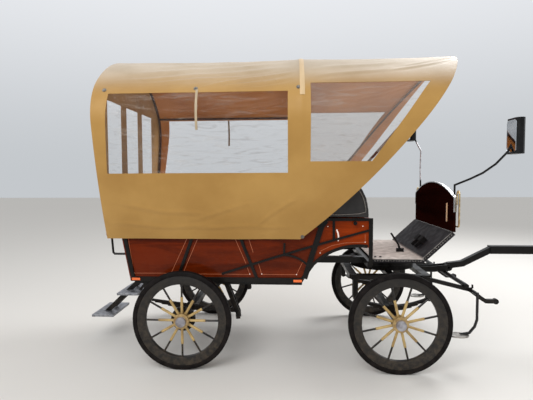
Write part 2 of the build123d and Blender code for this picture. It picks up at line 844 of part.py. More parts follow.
wing_t = 50
back_top = 1700
with BuildPart() as driver_back:
    with BuildSketch(side_plane(0)):
        with BuildLine():
            Polyline(
                (seat_back_x, box_top),
                (seat_back_x + 78, box_top),
                (seat_back_x + 50, back_top),
                (seat_back_x - 20, back_top),
                close=True,
            )
        make_face()
    extrude(amount=body_half - wing_t - 4, both=True)
    chamfer(driver_back.edges().filter_by(Axis.Y).group_by(Axis.Z)[-1], 16)
    for side in (-1, 1):
        with BuildSketch(side_plane(side * (body_half - 5))):
            with BuildLine():
                Polyline(
                    (1400, back_top - 28),
                    (seat_back_x - 20, back_top),
                    (seat_back_x, box_top),
                    (box_front + 2, box_top),
                )
                ThreePointArc((box_front + 2, box_top), (1598, 1438), (1551, 1543))
                ThreePointArc((1551, 1543), (1490, 1622), (1400, back_top - 28))
            make_face()
        extrude(amount=side * wing_t)
driver_back.part.label = "driver_back"
export_step(driver_back.part, "parts/driver_back.step")

# Footboard: floor plate, toe board, the deep edge flanges and the pads under the floor
foot_pads = (box_front + 70, (box_front + foot_front) / 2 + 20, foot_front - 30)
with BuildPart() as footboard:
    with BuildSketch(side_plane(0)):
        with BuildLine():
            tread_line = Polyline((box_front + 26, foot_z), (foot_front, foot_z), toe_top)
        trace(tread_line, line_width=plate_t)
    extrude(amount=foot_half, both=True)
    for side in (-1, 1):
        with BuildSketch(side_plane(side * (foot_half + plate_t / 2))):
            with BuildLine():
                flange = Polyline(
                    (box_front + 26, foot_z - flange_h / 2 + 3),
                    (foot_front + 6, foot_z - flange_h / 2 + 3),
                    (toe_top[0] + 10, toe_top[1] - 10),
                )
            trace(flange, line_width=flange_h)
        extrude(amount=plate_t / 2 + 1, both=True)
    with BuildSketch(top_plane(front_beam_z + front_beam_h)):
        with Locations([(x, y) for x in foot_pads for y in (-front_beam_y, front_beam_y)]):
            Rectangle(40, 40)
    extrude(amount=foot_z - plate_t / 2 - front_beam_z - front_beam_h)
footboard.part.label = "footboard"
export_step(footboard.part, "parts/footboard.step")

# Dash: arched wooden board, steel edge trim, rein rails at both ends
dash_x = toe_top[0] + 4
with BuildPart() as dash:
    with BuildSketch(end_plane(dash_x)):
        with BuildLine():
            Polyline(
                (-dash_half, dash_corner_z), (-dash_half, toe_top[1]),
                (dash_half, toe_top[1]), (dash_half, dash_corner_z)
            )
            ThreePointArc((dash_half, dash_corner_z), (0, dash_crown_z), (-dash_half, dash_corner_z))
        make_face()
    extrude(amount=dash_t)
dash.part.label = "dash"
export_step(dash.part, "parts/dash.step")

trim_t = 8
trim_w = dash_t + 3
arch_centre, arch_r = circle_through(
    (-dash_half, dash_corner_z), (0, dash_crown_z), (dash_half, dash_corner_z)
)
arch_angle = math.degrees(math.asin((dash_corner_z - arch_centre[1]) / arch_r))
with BuildPart() as dash_trim:
    with BuildSketch(end_plane(dash_x - 3)):
        with BuildLine():
            crown = ThreePointArc(
                polar(arch_centre, arch_r + trim_t / 2, 180 - arch_angle),
                (0, dash_crown_z + trim_t / 2),
                polar(arch_centre, arch_r + trim_t / 2, arch_angle),
            )
        trace(crown, line_width=trim_t)
        with Locations([(side * (dash_half + trim_t / 2), dash_corner_z - 55) for side in (-1, 1)]):
            Rectangle(trim_t, 130)
    extrude(amount=trim_w)
dash_trim.part.label = "dash_trim"
export_step(dash_trim.part, "parts/dash_trim.step")

rail_r = 8
rail_out = 45
rail_low = 1215
rail_high = 1520
rail_x = dash_x + dash_t + rail_r
with BuildPart() as rein_rails:
    for side in (-1, 1):
        inner_y = dash_half - rail_r
        outer_y = dash_half + rail_out
        with BuildLine(end_plane(rail_x)) as loop:
            Polyline(
                (side * (dash_half - 30), rail_low),
                (side * (outer_y - 22), rail_low),
                (side * (outer_y - 6), rail_low + 7),
                (side * outer_y, rail_low + 24),
                (side * outer_y, rail_high - 24),
                (side * (outer_y - 10), rail_high - 6),
                (side * (outer_y + inner_y) / 2, rail_high),
                (side * (inner_y + 10), rail_high - 6),
                (side * inner_y, rail_high - 24),
                (side * inner_y, dash_corner_z - 60),
            )
        with BuildSketch(Plane(origin=loop.line @ 0, z_dir=loop.line % 0)):
            RegularPolygon(rail_r, 8)
        sweep(path=loop.line, transition=Transition.RIGHT)
rein_rails.part.label = "rein_rails"
export_step(rein_rails.part, "parts/rein_rails.step")

# Mirrors: a jointed arm tube from the dash corner and a rounded head that faces the driver
# The driver has set the two arms differently
head_size = (70, 170, 280)
arm_r = 9
# side, knees of the arm and then the head's centre: ahead of the dash, outside the body, above its crown
mirror_table = [
    (-1, [(112, -5, 33), (182, 75, 83), (251, 145, 154), (317, 190, 246)], (376, 195, 370)),
    (1, [(57, -5, 136), (84, 75, 347), (50, 150, 460)], (10, 195, 610)),
]
with BuildPart() as mirrors:
    for side, knees, head in mirror_table:
        foot = (dash_t + arm_r, dash_half - 70 - body_half)
        low = [(*foot, dash_corner_z - 80 - dash_crown_z), (*foot, -20)]
        with BuildLine() as arm:
            Polyline(
                *[
                    (rear_axle_x + dash_x + ahead, side * (body_half + out), dash_crown_z + up)
                    for ahead, out, up in [*low, *knees, head]
                ]
            )
        with BuildSketch(Plane(origin=arm.line @ 0, z_dir=arm.line % 0)):
            RegularPolygon(arm_r, 8)
        sweep(path=arm.line, transition=Transition.RIGHT)
        ahead, out, up = head
        with Locations((rear_axle_x + dash_x + ahead, side * (body_half + out), dash_crown_z + up)):
            Box(*head_size)
    chamfer(mirrors.edges().filter_by(lambda e: abs(e.length - head_size[2]) < 1), 20)
mirrors.part.label = "mirrors"
export_step(mirrors.part, "parts/mirrors.step")

# Brake pedals on the toe board and the parking brake lever by the seat
toe_slope = math.atan2(toe_top[1] - foot_z, toe_top[0] - foot_front)
toe_plane = Plane(
    origin=(
        rear_axle_x + foot_front - math.sin(toe_slope) * plate_t / 2,
        0,
        foot_z + math.cos(toe_slope) * plate_t / 2,
    ),
    x_dir=(math.cos(toe_slope), 0, math.sin(toe_slope)),
    z_dir=(-math.sin(toe_slope), 0, math.cos(toe_slope)),
)
with BuildPart(toe_plane) as pedals:
    with BuildSketch(toe_plane):
        with Locations([(150, y) for y in (-120, -230)]):
            Rectangle(60, 80)
    extrude(amount=40)
    with Locations([(120, y, 20) for y in (-120, -230)]):
        Box(120, 16, 30)
pedals.part.label = "pedals"
export_step(pedals.part, "parts/pedals.step")

lever_x = foot_front - 105
lever_foot = (lever_x, foot_z + 20)
with BuildPart() as brake_lever:
    with BuildSketch(side_plane(-200)):
        with BuildLine():
            grip = Polyline(lever_foot, (lever_x - 15, foot_z + 70), (lever_x - 85, foot_z + 180))
        trace(grip, line_width=16)
        with Locations(lever_foot):
            Rectangle(70, 34)
    extrude(amount=9, both=True)
brake_lever.part.label = "brake_lever"
export_step(brake_lever.part, "parts/brake_lever.step")

# Rear steps: a central pair of flat stringers, and the two chequer plate treads they pass through
# tread's rear edge, height
treads = [(-1060, 280), (-800, 500)]
tread_deep = 220
tread_w = 420
stringer_y = 70
with BuildPart() as step_stringers:
    for side in (-1, 1):
        with BuildSketch(side_plane(side * stringer_y)):
            with BuildLine():
                string = Polyline(
                    (body_rear + 60, member_z - beam_h / 2 - 23),
                    (-550, member_z - beam_h / 2 - 23),
                    (-985, 250),
                )
            trace(string, line_width=46)
        extrude(amount=5, both=True)
        with BuildSketch(side_plane(side * stringer_y)):
            with BuildLine():
                stay = Polyline((-800, 460), (-640, 460), (-500, member_z - beam_h / 2 - 40))
            trace(stay, line_width=26)
        extrude(amount=4, both=True)
step_stringers.part.label = "step_stringers"
export_step(step_stringers.part, "parts/step_stringers.step")

with BuildPart() as rear_steps:
    for rear_edge, height in treads:
        with BuildSketch(top_plane(height)):
            with Locations((rear_edge + tread_deep / 2, 0)):
                Rectangle(tread_deep, tread_w)
        extrude(amount=-5)
        with BuildSketch(top_plane(height)):
            with Locations((rear_edge + tread_deep / 2, 0)):
                Rectangle(tread_deep, tread_w)
                Rectangle(tread_deep - 8, tread_w - 8, mode=Mode.SUBTRACT)
        extrude(amount=-22)
    add(step_stringers.part, mode=Mode.SUBTRACT)
rear_steps.part.label = "rear_steps"
export_step(rear_steps.part, "parts/rear_steps.step")

# Grab handles beside the rear door
handle_low = 965
handle_high = 1185
handle_rear = body_rear - 178


def handle_foot(z):
    # station inside the leaning corner post at this height
    return body_rear - (z - body_bottom) * lean


with BuildPart() as grab_handles:
    for side in (-1, 1):
        with BuildLine(side_plane(side * (body_half - post_w / 2))) as loop:
            Polyline(
                (handle_foot(handle_low), handle_low),
                (handle_rear + 22, handle_low),
                (handle_rear + 8, handle_low + 14),
                (handle_rear - 4, handle_high - 38),
                (handle_rear + 2, handle_high - 10),
                (handle_rear + 20, handle_high),
                (handle_foot(handle_high), handle_high),
            )
        with BuildSketch(Plane(origin=loop.line @ 0, z_dir=loop.line % 0)):
            RegularPolygon(10, 8)
        sweep(path=loop.line, transition=Transition.RIGHT)
    with BuildSketch(rear_plane.offset(post_t)):
        with Locations((0, wall_h / 2)):
            Rectangle(2 * body_half, wall_h)
    extrude(amount=-60, mode=Mode.SUBTRACT)
grab_handles.part.label = "grab_handles"
export_step(grab_handles.part, "parts/grab_handles.step")

# Rear lamps at the canopy's lower rear corners, and the amber side reflectors
with BuildPart() as rear_lamps:
    with BuildSketch(end_plane(canopy_rear - 18)):
        with Locations((-600, 1175), (600, 1175)):
            Rectangle(44, 92)
    extrude(amount=18)
    chamfer(rear_lamps.faces().group_by(Axis.X)[0].edges(), 7)
rear_lamps.part.label = "rear_lamps"
export_step(rear_lamps.part, "parts/rear_lamps.step")

with BuildPart() as side_reflectors:
    for side in (-1, 1):
        with BuildSketch(side_plane(side * body_half)):
            with Locations((body_rear + 42, body_bottom + 18), (body_front - 40, body_bottom + 14)):
                Rectangle(74, 22)
        extrude(amount=-side * 6)
side_reflectors.part.label = "side_reflectors"
export_step(side_reflectors.part, "parts/side_reflectors.step")

# The section as a ring between two insets, open at the hem
outside = 60
half_w = shoulder_half + outside


def canopy_ring(station, outer_inset, inner_inset):
    outer_hem, inner_hem = section_points(outer_inset)[0], section_points(inner_inset)[0]
    with BuildSketch(end_plane(station)) as ring:
        with BuildLine():
            canopy_line(outer_inset)
            Line(outer_hem, (-outer_hem[0], outer_hem[1]))
        make_face()
        with BuildLine():
            canopy_line(inner_inset)
            Polyline(
                inner_hem,
                (inner_hem[0], inner_hem[1] - outside),
                (-inner_hem[0], inner_hem[1] - outside),
                (-inner_hem[0], inner_hem[1]),
            )
        make_face(mode=Mode.SUBTRACT)
    return ring.sketch


# Canopy frame: two upright hoops, a sloping front bow and the rails between them
hoop_out = skin_t + hoop_gap
hoop_in = hoop_out + hoop_t
bow_foot = (1080, 1215)
bow_head = (canopy_front - 40, crown_z - 31)
bracket_z = body_top - 30
bracket_h = 22
bracket_w = 30


def along_bow(z, behind=0):
    # a point of the bow's line at this height, or of the line this far behind it
    slope = math.atan2(bow_head[1] - bow_foot[1], bow_head[0] - bow_foot[0])
    return (bow_foot[0] + (z - bow_foot[1]) / math.tan(slope) - behind / math.sin(slope), z)


def side_brackets(stations, reach=0):
    # lugs from the body's outer faces to the hoops' feet
    hem_slope = math.tan(math.radians(hem_angle))
    foot_y = section_points(hoop_in)[0][0] + (bracket_z + bracket_h - hem_z) * hem_slope
    with BuildSketch(top_plane(bracket_z)) as lugs:
        for side in (-1, 1):
            with Locations([(x + reach / 2, side * (body_half + foot_y) / 2) for x in stations]):
                Rectangle(bracket_w + reach, foot_y - body_half)
    return lugs.sketch


with BuildPart() as canopy_hoops:
    for station in hoop_stations:
        extrude(canopy_ring(station - hoop_t / 2, hoop_out, hoop_in), amount=hoop_t)
    extrude(side_brackets(hoop_stations[1:]), amount=bracket_h)
    extrude(side_brackets(hoop_stations[:1], rear_top - hoop_stations[0]), amount=bracket_h)
canopy_hoops.part.label = "canopy_hoops"
export_step(canopy_hoops.part, "parts/canopy_hoops.step")

with BuildPart() as canopy_bow:
    extrude(canopy_ring(hoop_stations[1], hoop_out, hoop_in), amount=canopy_front - hoop_stations[1])
    with BuildSketch(side_plane(0)):
        with BuildLine():
            slope_line = Line(bow_foot, along_bow(crown_z + outside))
        trace(slope_line, line_width=hoop_t)
    extrude(amount=half_w, both=True, mode=Mode.INTERSECT)
    extrude(side_brackets((bow_foot[0] + 6,)), amount=bracket_h)
canopy_bow.part.label = "canopy_bow"
export_step(canopy_bow.part, "parts/canopy_bow.step")

# a bay's rear end, its front end, heights of its side rails
bays = [
    (hoop_stations[0] + hoop_t / 2, hoop_stations[1] - hoop_t / 2, (window_top + 18,)),
    (hoop_stations[1] + hoop_t / 2, canopy_front, ()),
]
with BuildPart() as canopy_rails:
    for rear, front, heights in bays:
        with BuildPart(mode=Mode.PRIVATE) as bay:
            extrude(canopy_ring(rear, hoop_out, hoop_in), amount=front - rear)
            with BuildSketch(end_plane(rear)):
                with Locations((0, crown_z)):
                    Rectangle(hoop_t, 4 * hoop_in)
                for height in heights:
                    with Locations((0, height)):
                        Rectangle(2 * half_w, hoop_t)
            extrude(amount=front - rear, mode=Mode.INTERSECT)
        add(bay.part)
    with BuildSketch(side_plane(0)):
        with BuildLine():
            Polyline(
                along_bow(bow_foot[1], hoop_t / 2),
                along_bow(crown_z + outside, hoop_t / 2),
                (canopy_front + outside, crown_z + outside),
                (canopy_front + outside, bow_foot[1]),
                close=True,
            )
        make_face()
    extrude(amount=half_w, both=True, mode=Mode.SUBTRACT)
canopy_rails.part.label = "canopy_rails"
export_step(canopy_rails.part, "parts/canopy_rails.step")

# Canopy skin: one section along the length, cut to the sloping front and to the windows
window_outlines = [
    [(-600, 1680), (908, 1680), (908, window_top), (-600, window_top)],
    [(1090, 1770), (1580, 1770), (2030, window_top + 70), (1090, window_top + 70)],
]
# centre across, width of the clear strips in the rear curtain
curtain_strips = [(-430, 300), (0, 300), (430, 300)]
strip_low = 1680
strip_high = window_top
front_edge = [(front_hem, hem_z), front_mid, (canopy_front, crown_z)]


def front_waste():
    # all that lies in front of the canopy's front edge, in side view
    with BuildSketch(side_plane(0)) as waste:
        with BuildLine():
            ThreePointArc(*front_edge)
            Polyline(
                front_edge[2],
                (canopy_front, crown_z + outside),
                (canopy_front + outside, crown_z + outside),
                (canopy_front + outside, hem_z - outside),
                (front_hem, hem_z - outside),
                front_edge[0],
            )
        make_face()
    return waste.sketch


def window_shapes():
    # the side windows' outlines, in side view
    with BuildSketch(side_plane(0)) as shapes:
        for outline in window_outlines:
            with BuildLine():
                Polyline(*outline, close=True)
            make_face()
    return shapes.sketch


canopy_len = canopy_front - canopy_rear
# name, low y, high y, low z, high z
skin_table = [
    ("canopy_side_right", -half_w, 0, hem_z - outside, roof_seam_z),
    ("canopy_side_left", 0, half_w, hem_z - outside, roof_seam_z),
    ("canopy_roof", -half_w, half_w, roof_seam_z, crown_z + outside),
]
for name, low_y, high_y, low_z, high_z in skin_table:
    with BuildPart() as skin:
        extrude(canopy_ring(canopy_rear, 0, skin_t), amount=canopy_len)
        extrude(front_waste(), amount=half_w, both=True, mode=Mode.SUBTRACT)
        extrude(window_shapes(), amount=half_w, both=True, mode=Mode.SUBTRACT)
        with BuildSketch(end_plane(canopy_rear)):
            with Locations(((low_y + high_y) / 2, (low_z + high_z) / 2)):
                Rectangle(high_y - low_y, high_z - low_z)
        extrude(amount=canopy_len, mode=Mode.INTERSECT)
    skin.part.label = name
    export_step(skin.part, f"parts/{name}.step")

pane_inset = (skin_t - pane_t) / 2
with BuildPart() as side_windows:
    extrude(canopy_ring(canopy_rear, pane_inset, pane_inset + pane_t), amount=canopy_len)
    extrude(window_shapes(), amount=half_w, both=True, mode=Mode.INTERSECT)
side_windows.part.label = "side_windows"
export_step(side_windows.part, "parts/side_windows.step")

# Rear curtain inside the skin's rear end, with its clear strips
with BuildPart() as rear_curtain:
    with BuildSketch(end_plane(canopy_rear)):
        hem = section_points(skin_t)[0]
        with BuildLine():
            canopy_line(skin_t)
            Line(hem, (-hem[0], hem[1]))
        make_face()
        for across, width in curtain_strips:
            with Locations((across, (strip_low + strip_high) / 2)):
                Rectangle(width, strip_high - strip_low, mode=Mode.SUBTRACT)
    extrude(amount=skin_t)
rear_curtain.part.label = "rear_curtain"
export_step(rear_curtain.part, "parts/rear_curtain.step")

with BuildPart() as rear_windows:
    with BuildSketch(end_plane(canopy_rear + pane_inset)):
        for across, width in curtain_strips:
            with Locations((across, (strip_low + strip_high) / 2)):
                Rectangle(width, strip_high - strip_low)
    extrude(amount=pane_t)
rear_windows.part.label = "rear_windows"
export_step(rear_windows.part, "parts/rear_windows.step")
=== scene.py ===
# Horse drawn wagonette with a tarpaulin canopy: finishes, cloth, seats and small fittings.
# Metres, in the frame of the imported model: +X forward, +Y left, +Z up.
# Stations are distances forward of the rear axle.
import math
from contextlib import contextmanager

import bmesh
import bpy
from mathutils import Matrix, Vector, noise

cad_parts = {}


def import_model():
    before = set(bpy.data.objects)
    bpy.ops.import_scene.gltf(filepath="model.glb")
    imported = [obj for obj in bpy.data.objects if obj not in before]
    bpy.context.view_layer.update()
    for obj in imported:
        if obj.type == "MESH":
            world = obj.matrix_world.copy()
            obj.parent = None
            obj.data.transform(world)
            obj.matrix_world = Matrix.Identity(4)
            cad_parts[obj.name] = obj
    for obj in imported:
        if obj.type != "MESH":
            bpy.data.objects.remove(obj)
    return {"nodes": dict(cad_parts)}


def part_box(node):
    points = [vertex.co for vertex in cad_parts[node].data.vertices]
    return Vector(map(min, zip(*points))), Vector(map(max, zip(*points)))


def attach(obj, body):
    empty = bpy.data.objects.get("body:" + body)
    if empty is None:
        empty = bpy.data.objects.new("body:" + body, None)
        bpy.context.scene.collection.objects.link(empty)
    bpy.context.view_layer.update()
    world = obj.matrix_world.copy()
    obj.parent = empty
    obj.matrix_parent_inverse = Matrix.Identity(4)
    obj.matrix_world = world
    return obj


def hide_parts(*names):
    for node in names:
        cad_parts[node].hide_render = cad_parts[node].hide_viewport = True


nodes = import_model()["nodes"]
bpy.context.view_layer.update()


def middle(node):
    low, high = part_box(node)
    return (low + high) / 2


rearAxle = middle("tyre_rear_right").x
frontAxle = middle("tyre_front_right").x - rearAxle
print("frame loaded,", len(nodes), "nodes")


# Small helpers

def deselectAll():
    for o in bpy.context.selected_objects:
        o.select_set(False)


def activate(obj):
    deselectAll()
    obj.select_set(True)
    bpy.context.view_layer.objects.active = obj


def settle(obj):
    activate(obj)
    bpy.ops.object.transform_apply(location=True, rotation=True, scale=True)


def addModifier(obj, kind, **settings):
    modifier = obj.modifiers.new(kind, kind)
    for key, value in settings.items():
        setattr(modifier, key, value)
    return modifier


def applyModifiers(obj):
    activate(obj)
    for m in list(obj.modifiers):
        bpy.ops.object.modifier_apply(modifier=m.name)


def startPiece(name, primitive, **settings):
    deselectAll()
    primitive(**settings)
    obj = bpy.context.object
    obj.name = name
    settle(obj)
    return obj


def startBlock(name, low, high):
    low, high = Vector(low), Vector(high)
    return startPiece(name, bpy.ops.mesh.primitive_cube_add, size=1,
                      location=(low + high) / 2, scale=high - low)


def startOutline(name, count):
    return startPiece(name, bpy.ops.mesh.primitive_circle_add, vertices=count, fill_type="NGON", radius=1)


def joinPieces(pieces):
    activate(pieces[0])
    for p in pieces:
        p.select_set(True)
    bpy.ops.object.join()
    return bpy.context.object


def finishPiece(obj, name, finish=None, smooth=None):
    # the last steps of each new piece, which all belong to the carriage's body
    if smooth:
        activate(obj)
        bpy.ops.object.shade_smooth_by_angle(angle=math.radians(smooth))
    settle(obj)
    obj.name = name
    obj.data.name = name
    if finish:
        obj.data.materials.append(finishes[finish])
    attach(obj, "carriage")


@contextmanager
def editing(obj):
    # edit mode for the lines inside
    activate(obj)
    bpy.ops.object.mode_set(mode="EDIT")
    yield
    bpy.ops.object.mode_set(mode="OBJECT")


@contextmanager
def meshOf(obj):
    # the piece's mesh for the lines inside, written back after them
    bm = bmesh.new()
    bm.from_mesh(obj.data)
    yield bm
    bm.to_mesh(obj.data)
    bm.free()


def mergeClose(bm, distance):
    bmesh.ops.remove_doubles(bm, verts=bm.verts, dist=distance)
    bmesh.ops.dissolve_degenerate(bm, edges=bm.edges, dist=distance)


def pick(obj, kind, test):
    # selects the faces, edges or vertices that pass the test, in edit mode
    bpy.ops.mesh.select_all(action="DESELECT")
    bm = bmesh.from_edit_mesh(obj.data)
    for part in getattr(bm, kind):
        if test(part):
            part.select_set(True)
    bmesh.update_edit_mesh(obj.data)


def extrude(*move):
    bpy.ops.mesh.extrude_region_move(TRANSFORM_OT_translate={"value": move})


def extrudeAll(*move):
    # gives a flat piece its depth and turns its faces outwards
    bpy.ops.mesh.select_all(action="SELECT")
    extrude(*move)
    bpy.ops.mesh.select_all(action="SELECT")
    bpy.ops.mesh.normals_make_consistent(inside=False)


def tone(r, g, b):
    # a screen colour of 0 to 255 as Blender's linear colour
    linear = [((c / 255 + 0.055) / 1.055) ** 2.4 if c > 10 else c / 255 / 12.92 for c in (r, g, b)]
    return (*linear, 1)


# Node trees: shared effects as groups, then the finishes that use them

class Graph:
    # a node tree that is filled node by node

    def __init__(self, tree):
        self.tree = tree

    def add(self, kind, inputs=(), **settings):
        node = self.tree.nodes.new("ShaderNode" + kind)
        for key, value in settings.items():
            setattr(node, key, value)
        for socket, value in dict(inputs).items():
            if isinstance(value, bpy.types.NodeSocket):
                self.tree.links.new(value, node.inputs[socket])
            else:
                node.inputs[socket].default_value = value
        return node.outputs

    def math(self, operation, a, b=0.0, clamp=False):
        return self.add("Math", {0: a, 1: b}, operation=operation, use_clamp=clamp)[0]

    def mix(self, factor, a, b):
        return self.add("Mix", {0: factor, 6: a, 7: b}, data_type="RGBA")[2]

    def spread(self, value, low, high, toLow=0.0, toHigh=1.0):
        # eases from toLow to toHigh while the value goes from low to high
        sockets = {0: value, 1: low, 2: high, 3: toLow, 4: toHigh}
        return self.add("MapRange", sockets, interpolation_type="SMOOTHSTEP")[0]

    def noise(self, vector, **sockets):
        return self.add("TexNoise", {"Vector": vector, **sockets})[0]

    def mapped(self, vector, **sockets):
        return self.add("Mapping", {"Vector": vector, **sockets})[0]

    def axis(self, vector, index):
        return self.add("SeparateXYZ", {0: vector})[index]


class Group(Graph):
    # an input's value is its default number or its kind of socket

    def __init__(self, name, inputs, outputs):
        super().__init__(bpy.data.node_groups.new(name, "ShaderNodeTree"))
        for label, value in inputs.items():
            kind = value if isinstance(value, str) else "Float"
            socket = self.tree.interface.new_socket(label, in_out="INPUT", socket_type="NodeSocket" + kind)
            if kind == "Float":
                socket.default_value = value
        for label, kind in outputs.items():
            self.tree.interface.new_socket(label, in_out="OUTPUT", socket_type="NodeSocket" + kind)
        self.given = self.tree.nodes.new("NodeGroupInput").outputs
        self.result = self.tree.nodes.new("NodeGroupOutput").inputs

    def put(self, **values):
        for label, value in values.items():
            self.tree.links.new(value, self.result[label])
        return self.tree


def mottleGroup():
    # soft uneven colour and gloss, as on any used paint or cloth
    g = Group("mottle", {"Vector": "Vector", "Scale": 3.0, "Dark": "Color", "Light": "Color"},
              {"Color": "Color", "Value": "Float"})
    cloud = g.noise(g.given["Vector"], Scale=g.given["Scale"], Detail=5.0, Roughness=0.55)
    value = g.spread(cloud, 0.3, 0.7)
    return g.put(Color=g.mix(value, g.given["Dark"], g.given["Light"]), Value=value)


def dustGroup():
    # pale road dust that thins out with height
    g = Group("roadDust", {"Vector": "Vector", "Base": "Color", "Dust": "Color", "Top": 0.8, "Amount": 0.4},
              {"Color": "Color", "Mask": "Float"})
    up = g.axis(g.given["Vector"], 2)
    low = g.math("SUBTRACT", 1.0, g.math("DIVIDE", up, g.given["Top"]), clamp=True)
    specks = g.spread(g.noise(g.given["Vector"], Scale=22.0, Detail=6.0, Roughness=0.6), 0.35, 0.7)
    mask = g.math("MULTIPLY", g.math("MULTIPLY", low, specks), g.given["Amount"])
    return g.put(Color=g.mix(mask, g.given["Base"], g.given["Dust"]), Mask=mask)


def weaveGroup():
    # the fine crossed threads of coated cloth
    g = Group("weave", {"Vector": "Vector", "Scale": 300.0}, {"Height": "Float"})
    sockets = {"Vector": g.given["Vector"], "Scale": g.given["Scale"], "Distortion": 0.4}
    threads = [g.add("TexWave", sockets, bands_direction=direction)[1] for direction in ("X", "Z")]
    return g.put(Height=g.math("MULTIPLY", *threads))


def grainGroup():
    # long wood figure that runs along X, with pores
    g = Group("woodGrain", {"Vector": "Vector", "Scale": 6.0, "Dark": "Color", "Light": "Color"},
              {"Color": "Color", "Height": "Float"})
    long = g.mapped(g.given["Vector"], Scale=(0.22, 1.0, 1.6))
    figure = g.noise(long, Scale=g.given["Scale"], Detail=6.0, Distortion=1.2)
    pores = g.noise(g.mapped(g.given["Vector"], Scale=(6.0, 60.0, 90.0)), Scale=4.0, Detail=3.0)
    both = g.math("ADD", g.math("MULTIPLY", figure, 0.75), g.math("MULTIPLY", pores, 0.25))
    colour = g.mix(g.spread(both, 0.36, 0.64), g.given["Dark"], g.given["Light"])
    return g.put(Color=colour, Height=pores)


def ringGroup():
    # 1 inside a radius round a wheel's axle, 0 outside
    g = Group("insideRadius", {"Vector": "Vector", "Centre": "Vector", "Radius": 0.2, "Softness": 0.002},
              {"Mask": "Float"})
    away = g.add("VectorMath", {0: g.given["Vector"], 1: g.given["Centre"]}, operation="SUBTRACT")[0]
    flat = g.add("VectorMath", {0: away, 1: (1, 0, 1)}, operation="MULTIPLY")[0]
    far = g.add("VectorMath", {0: flat}, operation="LENGTH")[1]
    past = g.math("SUBTRACT", g.given["Radius"], far)
    return g.put(Mask=g.math("DIVIDE", past, g.given["Softness"], clamp=True))


def leatherGroup():
    # pebbled grain with a few soft creases
    g = Group("leatherGrain", {"Vector": "Vector", "Scale": 260.0}, {"Height": "Float"})
    sockets = {"Vector": g.given["Vector"], "Scale": g.given["Scale"], "Randomness": 1.0}
    pebbles = g.math("MULTIPLY", g.add("TexVoronoi", sockets)[0], 0.5)
    creases = g.noise(g.given["Vector"], Scale=14.0, Detail=4.0, Distortion=2.0)
    return g.put(Height=g.math("ADD", pebbles, creases))


groups = {
    "mottle": mottleGroup(),
    "dust": dustGroup(),
    "weave": weaveGroup(),
    "grain": grainGroup(),
    "ring": ringGroup(),
    "leather": leatherGroup(),
}


class Finish(Graph):
    # a material with its Principled shader and Object coordinates at hand

    def __init__(self, name, **sockets):
        self.material = bpy.data.materials.new(name)
        self.material.use_nodes = True
        super().__init__(self.material.node_tree)
        self.shader = self.tree.nodes["Principled BSDF"]
        self.place = self.add("TexCoord")["Object"]
        for key, value in sockets.items():
            self.shader.inputs[key.replace("_", " ")].default_value = value

    def use(self, group, **sockets):
        return self.add("Group", {"Vector": self.place, **sockets}, node_tree=groups[group])

    def mottle(self, scale, dark, light):
        return self.use("mottle", Scale=scale, Dark=dark, Light=light)

    def link(self, value, socket):
        self.tree.links.new(value, self.shader.inputs[socket])

    def dusty(self, colour, dust, top, amount):
        # makes the dusted colour the base colour, and gives back where the dust lies
        grime = self.use("dust", Base=colour, Dust=dust, Top=top, Amount=amount)
        self.link(grime["Color"], "Base Color")
        return grime["Mask"]

    def bump(self, height, strength, distance):
        sockets = {"Strength": strength, "Distance": distance, "Height": height}
        self.link(self.add("Bump", sockets)[0], "Normal")

    def gloss(self, value, low, high):
        self.link(self.spread(value, 0.0, 1.0, low, high), "Roughness")

    def ahead(self, low, high, toLow=0.0, toHigh=1.0):
        return self.spread(self.axis(self.place, 0), rearAxle + low, rearAxle + high, toLow, toHigh)

    def up(self, low, high, toLow=0.0, toHigh=1.0):
        return self.spread(self.axis(self.place, 2), low, high, toLow, toHigh)


def tarpaulin(name, dark, light, paintedRoofLight=None, glow=0.0):
    # coated cloth; above the eaves the roof is painted paler, painted light from the sky on it; a glow is
    # painted light shining through the cloth
    f = Finish(name, Specular_IOR_Level=0.3, Sheen_Weight=0.15, Sheen_Roughness=0.6)
    cloud = f.mottle(1.6, dark, light)
    colour = cloud["Color"]
    # painted light: above the eaves the colour is mixed towards paler roof colours, where the sky lights
    # the top
    if paintedRoofLight:
        colour = f.mix(f.up(2.30, 2.62), colour, f.mottle(2.4, *paintedRoofLight)["Color"])
    f.link(colour, "Base Color")
    f.gloss(cloud["Value"], 0.56, 0.44)
    f.bump(f.use("weave", Scale=420.0)["Height"], 0.12, 0.0006)
    # painted light: the cloth glows in its own colour, standing in for light shining through it
    if glow:
        f.link(colour, "Emission Color")
        f.shader.inputs["Emission Strength"].default_value = glow
    return f.material


def clearFilm(name, haze, frontSkyShine):
    # cloudy with age; the front windows are painted paler, a painted reflection of the sky they catch
    f = Finish(name, Base_Color=tone(176, 168, 160), Coat_Weight=0.25, Coat_Roughness=0.06, IOR=1.45)
    streaks = f.mapped(f.place, Scale=(1.1, 1.0, 8.0), Rotation=(0, 0.14, 0))
    milk = f.spread(f.noise(streaks, Scale=2.4, Detail=5.0, Distortion=1.6), 0.50, 0.78)
    clouded = f.math("MULTIPLY", milk, 0.24)
    # painted reflection: more of the pale film colour ahead of the middle hoop, for the sky on the front
    # windows
    f.link(f.math("ADD", f.ahead(0.95, 1.1, haze, frontSkyShine), clouded, clamp=True), "Alpha")
    f.gloss(milk, 0.06, 0.2)
    return f.material


